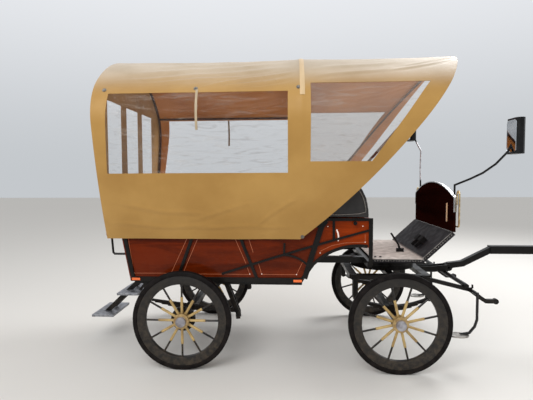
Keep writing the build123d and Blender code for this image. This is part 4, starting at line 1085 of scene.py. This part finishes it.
pads = {
    "pressure": 4.0,
    "frames": 20,
    "channelDepth": 0.006,
    "channelWidth": 0.009,
    "driverChannels": [-0.27, 0.0, 0.27],  # across
    "benchChannels": [-0.10, 0.29, 0.68],  # stations
    # low and high corner: station, across, height
    "driverCushion": {"low": (1.228, -0.530, 1.290), "high": (1.580, 0.530, 1.384), "edge": 0.018,
                      "voxel": 0.010, "swell": 0.013,
                      "limits": [(1.220, -0.540, 1.290), (1.590, 0.540, 1.400)]},
    "benchCushion": {"low": (-0.488, 0.248, 1.090), "high": (1.068, 0.562, 1.153), "edge": 0.014,
                     "voxel": 0.014, "swell": 0.011, "innerLimit": 0.240, "outerRoom": 0.002},
    "benchBack": {"low": (-0.472, 0.518, 1.178), "high": (1.052, 0.578, 1.410), "edge": 0.014,
                  "voxel": 0.014, "swell": 0.009, "innerLimit": 0.505, "outerRoom": 0.006,
                  "headOut": 0.012, "footIn": 0.010},
    "driverBack": {"low": (1.146, -0.545, 1.296), "high": (1.210, 0.545, 1.690), "edge": 0.014,
                   "voxel": 0.010, "swell": 0.012, "headBack": 0.022,
                   "limits": [(1.110, -0.551, 1.290), (1.225, 0.551, 1.702)]},
    "wing": {
        "outline": [(1.130, 1.293), (1.604, 1.293), (1.598, 1.375), (1.583, 1.460), (1.548, 1.535),
                    (1.490, 1.605), (1.400, 1.658), (1.265, 1.683), (1.128, 1.690)],
        "sides": (0.555, 0.594),
        "voxel": 0.009,
        "swell": 0.006,
        "limits": [(1.12, 0.550, 1.290), (1.612, 0.602, 1.698)],
        "middle": (1.36, 1.48),
        "pipingFoot": (1.15, 1.322),
        "pipingFace": 0.600,
        "pipingInset": 0.030,
    },
    "pipingRadius": 0.0032,
    "pipingLoop": (0.001, 0.001, 0.012),  # inside the cushion's block
    "pipingCorner": 0.02,
}


def atStation(point):
    return Vector((rearAxle + point[0], point[1], point[2]))


def inflate(obj, voxel, swell, limits):
    # blows the pad up as cloth, then scales the moves so that no point swells further than asked
    addModifier(obj, "REMESH", mode="VOXEL", voxel_size=voxel)
    applyModifiers(obj)
    start = [v.co.copy() for v in obj.data.vertices]
    cloth = addModifier(obj, "CLOTH").settings
    cloth.quality = 4
    cloth.use_pressure = True
    cloth.uniform_pressure_force = pads["pressure"]
    cloth.effector_weights.gravity = 0
    for number in range(1, pads["frames"] + 1):
        bpy.context.scene.frame_set(number)
    applyModifiers(obj)
    bpy.context.scene.frame_set(1)
    moves = [v.co - was for v, was in zip(obj.data.vertices, start)]
    most = max(m.length for m in moves)
    low, high = limits
    for v, was, move in zip(obj.data.vertices, start, moves):
        v.co = was + move * (swell / max(most, swell))
        for axis in range(3):
            v.co[axis] = min(high[axis], max(low[axis], v.co[axis]))
    addModifier(obj, "SUBSURF", levels=1, render_levels=1)
    applyModifiers(obj)


def sew(obj, axis, places, facing):
    # presses sewn channels into the side of the pad that looks along facing
    for v in obj.data.vertices:
        turned = v.normal.dot(Vector(facing))
        if turned > 0.2:
            for place in places:
                off = (v.co[axis] - place) / pads["channelWidth"]
                if abs(off) < 3:
                    v.co -= v.normal * pads["channelDepth"] * math.exp(-off * off) * min(1, turned * 1.5)
    obj.data.update()


def tubeAlong(name, points, closed=False):
    # a line of piping
    obj = startPiece(name, bpy.ops.curve.primitive_nurbs_path_add)
    spline = obj.data.splines[0]
    spline.points.add(len(points) - len(spline.points))
    for p, place in zip(spline.points, points):
        p.co = (*place, 1)
    spline.use_cyclic_u = closed
    spline.use_endpoint_u = not closed
    spline.order_u = 3
    spline.resolution_u = 3
    obj.data.bevel_depth = pads["pipingRadius"]
    obj.data.bevel_resolution = 2
    obj.data.use_fill_caps = not closed
    bpy.ops.object.convert(target="MESH")
    return bpy.context.object


def mirrored(obj):
    # the same piece on the other side of the carriage, with its faces turned back outwards
    activate(obj)
    bpy.ops.object.duplicate(linked=False)
    copy = bpy.context.object
    for v in copy.data.vertices:
        v.co.y = -v.co.y
    copy.data.flip_normals()
    return copy


def roundedLoop(low, high, radius, count=6):
    # a closed line with round corners, level with the top of a box
    xa, ya, xb, yb = low.x + radius, low.y + radius, high.x - radius, high.y - radius
    points = []
    for x, y, turn in ((xb, yb, 0), (xa, yb, 90), (xa, ya, 180), (xb, ya, 270)):
        for k in range(count + 1):
            a = math.radians(turn + 90 * k / count)
            points.append((x + radius * math.cos(a), y + radius * math.sin(a), high.z))
    return points


def makeDriverCushion():
    p = pads["driverCushion"]
    low, high = atStation(p["low"]), atStation(p["high"])
    obj = startBlock("driverCushion", low, high)

    def topOrUpright(e):
        a, b = e.verts
        return min(a.co.z, b.co.z) > high.z - 0.001 or abs(a.co.z - b.co.z) > 0.05

    with editing(obj):
        pick(obj, "edges", topOrUpright)
        bpy.ops.mesh.bevel(offset=p["edge"], segments=3)
    inflate(obj, p["voxel"], p["swell"], [atStation(c) for c in p["limits"]])
    sew(obj, 1, pads["driverChannels"], (0, 0, 1))
    inset = Vector(pads["pipingLoop"])
    loop = roundedLoop(low + inset, high - inset, pads["pipingCorner"])
    piping = tubeAlong("cushionPiping", loop, closed=True)
    finishPiece(piping, "cushionPiping", "piping", smooth=180)
    finishPiece(obj, "driverCushionPad", "leather", smooth=180)
    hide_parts("driver_cushion")


def makeBenchPads():
    # the right and left benches are alike, so each pad is blown up once and mirrored
    for key, node, facing in (("benchCushion", "bench_cushions", (0, 0, 1)),
                              ("benchBack", "bench_backs", (0, -1, 0))):
        p = pads[key]
        name = key + "Pads"
        obj = startBlock(name, atStation(p["low"]), atStation(p["high"]))
        with editing(obj):
            if key == "benchBack":
                # it leans out towards its top, like the side of the body
                pick(obj, "faces", lambda f: f.normal.z > 0.9)
                bpy.ops.transform.translate(value=(0, p["headOut"], 0))
                pick(obj, "faces", lambda f: f.normal.z < -0.9)
                bpy.ops.transform.translate(value=(0, -p["footIn"], 0))
            pick(obj, "edges", lambda e: e.calc_length() > 1)
            bpy.ops.mesh.bevel(offset=p["edge"], segments=2)
        a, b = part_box(node)
        limits = (Vector((a.x, p["innerLimit"], a.z)), Vector((b.x, b.y + p["outerRoom"], b.z + 0.004)))
        inflate(obj, p["voxel"], p["swell"], limits)
        sew(obj, 0, [rearAxle + c for c in pads["benchChannels"]], facing)
        obj = joinPieces([obj, mirrored(obj)])
        finishPiece(obj, name, "leather", smooth=180)
        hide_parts(node)
        print(name, len(obj.data.polygons), "faces")


def makeDriverBack():
    p = pads["driverBack"]
    obj = startBlock("driverBackPad", atStation(p["low"]), atStation(p["high"]))
    with editing(obj):
        pick(obj, "faces", lambda f: f.normal.z > 0.9)
        bpy.ops.transform.translate(value=(-p["headBack"], 0, 0))
        pick(obj, "edges", lambda e: e.calc_length() > 0.3)
        bpy.ops.mesh.bevel(offset=p["edge"], segments=2)
    inflate(obj, p["voxel"], p["swell"], [atStation(c) for c in p["limits"]])
    sew(obj, 1, pads["driverChannels"], (1, 0, 0))

    w = pads["wing"]
    inner, outer = w["sides"]
    wing = startOutline("wing", len(w["outline"]))
    for v, (station, z) in zip(wing.data.vertices, w["outline"]):
        v.co = (rearAxle + station, inner, z)
    with editing(wing):
        extrudeAll(0, outer - inner, 0)
    inflate(wing, w["voxel"], w["swell"], [atStation(c) for c in w["limits"]])
    obj = joinPieces([obj, wing, mirrored(wing)])
    finishPiece(obj, "driverBackPad", "leather", smooth=180)
    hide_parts("driver_back")

    # light piping on the outer face of each wing, following its front edge and its foot
    centre = Vector(w["middle"])
    line = [w["pipingFoot"]]
    for point in w["outline"][1:]:
        back = Vector(point) - centre
        back *= 1 - w["pipingInset"] / back.length
        line.append(centre + back)
    tubes = []
    for face in (-w["pipingFace"], w["pipingFace"]):
        tubes.append(tubeAlong("wingPiping", [(rearAxle + x, face, z) for x, z in line]))
    finishPiece(joinPieces(tubes), "wingPiping", "piping", smooth=180)


makeDriverCushion()
makeBenchPads()
makeDriverBack()
print("seats padded")


# Painted lines, buttons, bolts and plates: small rigid fittings

fittings = {
    "panelFace": 0.5904,  # outer face of the side boards, across
    "stripe": (0.004, 0.0005),  # width, height
    # painted lines in the bays of the side, station and height
    "stripes": [
        [(-0.520, 1.110), (-0.471, 0.792), (-0.135, 0.795), (0.015, 1.110)],
        [(0.110, 1.110), (-0.030, 0.790), (0.569, 0.790), (0.548, 0.850)],
        [(0.440, 1.110), (0.536, 0.886)],
        [(0.560, 1.110), (0.600, 0.985)],
        [(0.640, 0.910), (0.674, 0.792), (0.980, 0.792), (1.040, 0.920)],
        [(1.185, 1.000), (1.285, 1.050), (1.400, 1.074), (1.571, 1.081), (1.571, 1.150)],
    ],
    # painted highlight: a pale strip painted as the glint on the rounded front edge of a frame bar
    "sheenStrip": (0.012, 0.0008),  # width, height
    "sheen": [(1.326, 1.190), (1.338, 1.160), (1.343, 1.130), (1.340, 1.089)],
    "dots": [(-0.471, 0.794), (0.569, 0.794), (0.674, 0.795), (0.980, 0.793), (1.185, 0.985),
             (1.571, 1.081), (1.550, 1.220), (1.251, 1.217)],
    "buttonStations": [-0.592, 0.165, 0.993],
    "buttonHeight": 2.362,
    "buttonBar": (0.45, 1.5, 0.003),  # scale along and across, height
    "eyelet": (1.030, 1.134),
    "bolts": [(1.676, 0.500, 0.9362), (1.720, 0.500, 0.9362)],
    "knob": (1.481, 0.605, 1.249),
    # sides, radius and depth of the disc, then each step of its top: inset, rise, scale
    "studs": {
        "dot": (10, 0.0048, 0.0012, (0.002, 0.0008, 0.7)),
        "turnButton": (14, 0.018, 0.002, (0.006, 0.004, 0.8)),
        "eyelet": (18, 0.016, 0.0025, (0.007, -0.0022, 0.9)),
        "bolt": (6, 0.011, 0.006, (0.003, 0.002, 0.8)),
        "knob": (14, 0.010, 0.008, (0.001, 0.004, 1.9), (0.0005, 0.012, 1.0), (0.004, 0.003, 0.8)),
    },
    # rear treads: rear and front station, height of the plate
    "treads": [(-1.045, -0.855, 0.280), (-0.785, -0.595, 0.500)],
    "treadHalf": 0.195,
    "lozenge": (0.016, 0.006, 0.0012),  # length, width, height
    "lozengePitch": 0.024,
    "lozengeMargin": 0.008,
    "toeBoard": [(2.072, 0.934), (2.316, 1.161)],  # foot and head of the sloping board
    "edgeSides": (-0.560, 0.554),
    "edgeStrip": (0.007, 0.006),  # width, thickness
    "edgeRise": 0.004,
    "edgeRound": 0.0015,
    "flangeFace": 0.562,
    "flangeLine": [(1.650, 0.915), (2.066, 0.915), (2.318, 1.150)],
    "flangePitch": 0.023,
    "flangeLozenge": (0.009, 0.0038, 0.0012),  # half length, half width, height
    "flangeTop": (0.0008, 0.0004, 0.7),  # inset, rise, scale
    "flangeTurn": 42,  # degrees
    "pedals": (-0.120, -0.230),  # across
    "pedalPlace": (0.150, 0.0435),  # up the toe board and off it
    "rubber": (0.028, 0.038, 0.004),  # half width, half length, thickness
    "ribHeight": 0.003,
    "ribPitch": 0.008,
    "ribHalf": 0.031,
    "mirrors": [(2.700, -0.800, 1.960), (2.334, 0.800, 2.200)],
    "mirrorFace": 0.035,  # from the head's centre to its rear face
    "mirrorHalf": (0.002, 0.070, 0.125),  # half depth, half width, half height
    "mirrorCorner": 0.022,
    "mirrorLip": (0.004, 0.0012),  # width, depth
    "dashStrip": (-0.400, 1.243, 1.409),  # across, foot, head
    "dashStripHalf": 0.011,
    "dashStripDepth": (0.004, 0.001),  # off the dash and into it
    "dashStripTop": (0.003, 0.0015),  # inset, rise
}


def stripAlong(name, points, width, thickness, across):
    # a flat mitred strip along a line of stations and heights
    line = [Vector((rearAxle + x, z)) for x, z in points]
    last = len(line) - 1
    offsets = []
    for k, p in enumerate(line):
        before = (p - line[k - 1] if k else line[1] - p).normalized()
        after = (line[k + 1] - p if k < last else p - line[k - 1]).normalized()
        along = (before + after).normalized()
        turned = Vector((-along.y, along.x))
        offsets.append(turned * width / 2 / max(0.4, turned.dot(Vector((-after.y, after.x)))))
    obj = sheetGrid(name, range(last + 1), (-1, 1))
    for v in obj.data.vertices:
        k = round(v.co.x)
        c = line[k] + offsets[k] * v.co.y
        v.co = (c.x, across, c.y)
    with editing(obj):
        extrudeAll(0, thickness, 0)
    return obj


def placedCopy(obj, origin, outward, up=(0, 0, 1)):
    # a copy with its own mesh, its Z axis turned to look outwards
    activate(obj)
    bpy.ops.object.duplicate(linked=False)
    copy = bpy.context.object
    z = Vector(outward).normalized()
    x = Vector(up).cross(z).normalized()
    y = z.cross(x)
    for v in copy.data.vertices:
        v.co = Vector(origin) + x * v.co.x + y * v.co.y + z * v.co.z
    return copy


def placeAll(obj, places):
    # a copy at each place; the first piece was only their pattern
    made = [placedCopy(obj, *place) for place in places]
    activate(obj)
    bpy.ops.object.delete()
    return made


def shapeTop(obj, inset, rise, scale=1.0):
    # insets the top face and raises or sinks it
    top = max(v.co.z for v in obj.data.vertices)
    with editing(obj):
        pick(obj, "faces", lambda f: f.normal.z > 0.9 and f.calc_center_median().z > top - 1e-5)
        bpy.ops.mesh.inset(thickness=inset)
        extrude(0, 0, rise)
        bpy.ops.transform.resize(value=(scale, scale, 1))


def makeStud(name, sides, radius, depth, *tops):
    obj = startPiece(name, bpy.ops.mesh.primitive_cylinder_add, vertices=sides, radius=radius, depth=depth,
                     location=(0, 0, depth / 2))
    for top in tops:
        shapeTop(obj, *top)
    return obj


def stud(name):
    return makeStud(name, *fittings["studs"][name])


def makePinstripes():
    f = fittings
    face = f["panelFace"]
    obj = joinPieces([stripAlong("stripe", line, *f["stripe"], face) for line in f["stripes"]])
    finishPiece(joinPieces([obj, mirrored(obj)]), "pinstripes", "pinstripe")
    # painted highlight: the pale strip for the glint on the frame bar, in the bright dots' finish
    made = [stripAlong("sheen", f["sheen"], *f["sheenStrip"], face)]
    made += placeAll(stud("dot"), [((rearAxle + x, face, z), (0, 1, 0)) for x, z in f["dots"]])
    obj = joinPieces(made)
    finishPiece(joinPieces([obj, mirrored(obj)]), "brightDots", "brightDot", smooth=40)


def onCanopy(station, height, side):
    # a point of the cloth and its outward direction
    s = section.lengthAt(height)
    y, z, ny, nz = section.at(s)
    out = clothPush(station, s, side)
    return (rearAxle + station, side * (y + ny * out), z + nz * out), (0, side * ny, nz)


def makeButtons():
    # turn buttons that close the windows' roll-ups, and the eyelets at the front corners of the hem
    f = fittings
    button = stud("turnButton")
    top = max(v.co.z for v in button.data.vertices)
    with editing(button):
        pick(button, "faces", lambda face: face.calc_center_median().z > top - 1e-4)
        along, across, rise = f["buttonBar"]
        extrude(0, 0, rise)
        bpy.ops.transform.resize(value=(along, across, 1))
    places = [onCanopy(x, f["buttonHeight"], side) for side in (-1, 1) for x in f["buttonStations"]]
    made = placeAll(button, places)
    made += placeAll(stud("eyelet"), [onCanopy(*f["eyelet"], side) for side in (-1, 1)])
    finishPiece(joinPieces(made), "canopyButtons", "button", smooth=40)


def makeBolts():
    f = fittings
    made = placeAll(stud("bolt"), [((rearAxle + x, side * y, z), (0, 0, 1), (1, 0, 0))
                                   for x, y, z in f["bolts"] for side in (-1, 1)])
    x, y, z = f["knob"]
    made += placeAll(stud("knob"), [((rearAxle + x, side * y, z), (0, side, 0)) for side in (-1, 1)])
    finishPiece(joinPieces(made), "boltsAndKnobs", "blackSteel", smooth=40)


def makeChequer():
    # raised lozenges of chequer plate on the rear treads, modelled once and arrayed
    f = fittings
    length, width, height = f["lozenge"]
    margin, half, pitch = f["lozengeMargin"], f["treadHalf"], f["lozengePitch"]
    made = []
    for back, front, top in f["treads"]:
        for turn, shift in ((45, 0.0), (-45, pitch / 2)):
            obj = startOutline("lozenges", 6)
            a = math.radians(turn)
            for v in obj.data.vertices:
                x, y = v.co.x * length / 2, v.co.y * width / 2
                v.co = (rearAxle + back + margin + shift + x * math.cos(a) - y * math.sin(a),
                        -half + margin + shift + x * math.sin(a) + y * math.cos(a), top)
            with editing(obj):
                bpy.ops.mesh.select_all(action="SELECT")
                extrude(0, 0, height)
            for step, reach in (((pitch, 0, 0), front - back), ((0, pitch, 0), 2 * half)):
                count = int((reach - shift - margin) / pitch)
                addModifier(obj, "ARRAY", count=count, use_relative_offset=False,
                            use_constant_offset=True, constant_offset_displace=step)
            applyModifiers(obj)
            made.append(obj)
    finishPiece(joinPieces(made), "treadChequer", "plate")


def makeBoardTrim():
    # worn bright edges of the toe board, and the chequer plate's lozenges along its flange
    f = fittings
    made = []
    for across in f["edgeSides"]:
        line = [(x, z + f["edgeRise"]) for x, z in f["toeBoard"]]
        edge = stripAlong("edge", line, *f["edgeStrip"], across)
        with editing(edge):
            pick(edge, "edges", lambda e: e.calc_length() > 0.1)
            bpy.ops.mesh.bevel(offset=f["edgeRound"], segments=2)
        made.append(edge)
    lozenge = makeStud("lozenge", 6, 1.0, 1.0)
    for v in lozenge.data.vertices:
        v.co = [c * size for c, size in zip(v.co, f["flangeLozenge"])]
    shapeTop(lozenge, *f["flangeTop"])
    places = []
    line = f["flangeLine"]
    for (xa, za), (xb, zb) in zip(line, line[1:]):
        run = Vector((xb - xa, zb - za))
        count = int(run.length / f["flangePitch"])
        for k in range(count):
            x, z = xa + run.x * (k + 0.5) / count, za + run.y * (k + 0.5) / count
            turn = math.atan2(run.y, run.x) + math.radians(f["flangeTurn"] if k % 2 else -f["flangeTurn"])
            for side in (-1, 1):
                up = (-math.sin(turn), 0, math.cos(turn))
                places.append(((rearAxle + x, side * f["flangeFace"], z), (0, side, 0), up))
    made += placeAll(lozenge, places)
    finishPiece(joinPieces(made), "boardTrim", "button")


def makePedalRubbers():
    # ribbed rubber on the two brake pedals
    f = fittings
    foot, head = f["toeBoard"]
    slope = Vector((head[0] - foot[0], 0, head[1] - foot[1])).normalized()
    outward = Vector((-slope.z, 0, slope.x))
    halfWidth, halfLength, thickness = f["rubber"]
    pad = startBlock("pedalRubbers", (-halfWidth, -halfLength, 0), (halfWidth, halfLength, thickness))

    def onRib(face):
        p = face.calc_center_median()
        return face.normal.z > 0.9 and round(abs(p.x) / f["ribPitch"]) % 2 == 0 and abs(p.y) < f["ribHalf"]

    with editing(pad):
        bpy.ops.mesh.select_all(action="SELECT")
        bpy.ops.mesh.subdivide(number_cuts=6)
        pick(pad, "faces", onRib)
        extrude(0, 0, f["ribHeight"])
    along, off = f["pedalPlace"]
    start = Vector((rearAxle + foot[0], 0, foot[1])) + slope * along + outward * off
    places = [(start + Vector((0, across, 0)), outward, (0, -1, 0)) for across in f["pedals"]]
    finishPiece(joinPieces(placeAll(pad, places)), "pedalRubbers", "padRubber")


def makeMirrorGlass():
    # the glass of each mirror, held in a thin lip on the head's rear face
    f = fittings
    half = Vector(f["mirrorHalf"])
    lip, sunk = f["mirrorLip"]
    made = []
    for centre in f["mirrors"]:
        glass = atStation(centre) - Vector((f["mirrorFace"], 0, 0))
        obj = startBlock("mirrorGlass", glass - half, glass + half)
        with editing(obj):
            pick(obj, "edges", lambda e: abs(e.verts[0].co.x - e.verts[1].co.x) > half.x)
            bpy.ops.mesh.bevel(offset=f["mirrorCorner"], segments=4)
            pick(obj, "faces", lambda face: face.normal.x < -0.9)
            bpy.ops.mesh.inset(thickness=lip)
            extrude(sunk, 0, 0)
        made.append(obj)
    finishPiece(joinPieces(made), "mirrorGlass", "mirrorGlass")


def makeDashStrip():
    # a narrow reflector strip on the rear face of the dash
    f = fittings
    across, low, high = f["dashStrip"]
    half = f["dashStripHalf"]
    off, into = f["dashStripDepth"]
    inset, rise = f["dashStripTop"]
    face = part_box("dash")[0].x
    obj = startBlock("dashStrip", (face - off, across - half, low), (face + into, across + half, high))
    with editing(obj):
        pick(obj, "faces", lambda part: part.normal.x < -0.9)
        bpy.ops.mesh.inset(thickness=inset)
        extrude(-rise, 0, 0)
    finishPiece(obj, "dashStrip", "cream")


makePinstripes()
makeButtons()
makeBolts()
makeChequer()
makeBoardTrim()
makePedalRubbers()
makeMirrorGlass()
makeDashStrip()
print("fittings placed")


# Floor, light and camera

stage = {
    "floorSize": 60.0,
    "worldLight": 0.62,
    # place, aim, size, power
    "lamps": [
        ((3.5, 3.5, 6.5), (0, 0, 1.2), 4.0, 420),
        ((-3.0, -5.5, 5.0), (-0.5, 0, 1.0), 4.0, 260),
    ],
    "cameraPlace": (0.940, -4.254, 1.645),  # station, y, height
    "turn": (3.45, -3.09, -0.24),  # yaw, pitch and roll in degrees
    "lens": 28.51,
}


def makeStage():
    floor = startPiece("studioFloor", bpy.ops.mesh.primitive_plane_add, size=stage["floorSize"],
                       location=(0, 0, -0.0005))
    matt = Finish("studioFloor", Base_Color=tone(222, 220, 216), Roughness=0.9)
    floor.data.materials.append(matt.material)
    world = bpy.data.worlds.new("studio")
    bpy.context.scene.world = world
    world.use_nodes = True
    g = Graph(world.node_tree)
    light = g.tree.nodes["Background"]
    light.inputs[0].default_value = (1, 1, 1, 1)
    light.inputs[1].default_value = stage["worldLight"]
    # paler overhead than at the horizon, so that flat dark faces don't mirror white
    height = g.axis(g.add("TexCoord")["Generated"], 2)
    sky = g.mix(g.spread(height, 0.0, 0.5), tone(196, 200, 204), tone(238, 240, 244))
    seen = g.add("Background", {0: sky, 1: 1.0})[0]
    ray = g.add("LightPath")
    either = g.math("MAXIMUM", ray["Is Camera Ray"], ray["Is Glossy Ray"])
    either = g.math("MAXIMUM", either, ray["Is Transmission Ray"])
    blend = g.add("MixShader", {0: either, 1: light.outputs[0], 2: seen})[0]
    g.tree.links.new(blend, g.tree.nodes["World Output"].inputs[0])
    for place, aim, size, power in stage["lamps"]:
        lamp = bpy.data.lights.new("softbox", "AREA")
        lamp.size = size
        lamp.energy = power
        obj = bpy.data.objects.new("softbox", lamp)
        bpy.context.scene.collection.objects.link(obj)
        obj.location = place
        obj.rotation_euler = (Vector(aim) - Vector(place)).to_track_quat("-Z", "Y").to_euler()


def makeCamera():
    yaw, pitch, roll = (math.radians(a) for a in stage["turn"])
    ahead = Vector((-math.sin(yaw) * math.cos(pitch), math.cos(yaw) * math.cos(pitch), math.sin(pitch)))
    right = Vector((math.cos(yaw), math.sin(yaw), 0))
    up = right.cross(ahead)
    tiltRight = right * math.cos(roll) + up * math.sin(roll)
    tiltUp = up * math.cos(roll) - right * math.sin(roll)
    data = bpy.data.cameras.new("camera")
    data.lens = stage["lens"]
    data.sensor_width = 36
    camera = bpy.data.objects.new("camera", data)
    bpy.context.scene.collection.objects.link(camera)
    matrix = camera.matrix_world.copy()
    for column, direction in enumerate((tiltRight, tiltUp, -ahead, atStation(stage["cameraPlace"]))):
        for row in range(3):
            matrix[row][column] = direction[row]
    camera.matrix_world = matrix
    bpy.context.scene.camera = camera


makeStage()
makeCamera()
bpy.context.scene.view_settings.view_transform = "Standard"
print("stage and camera ready")
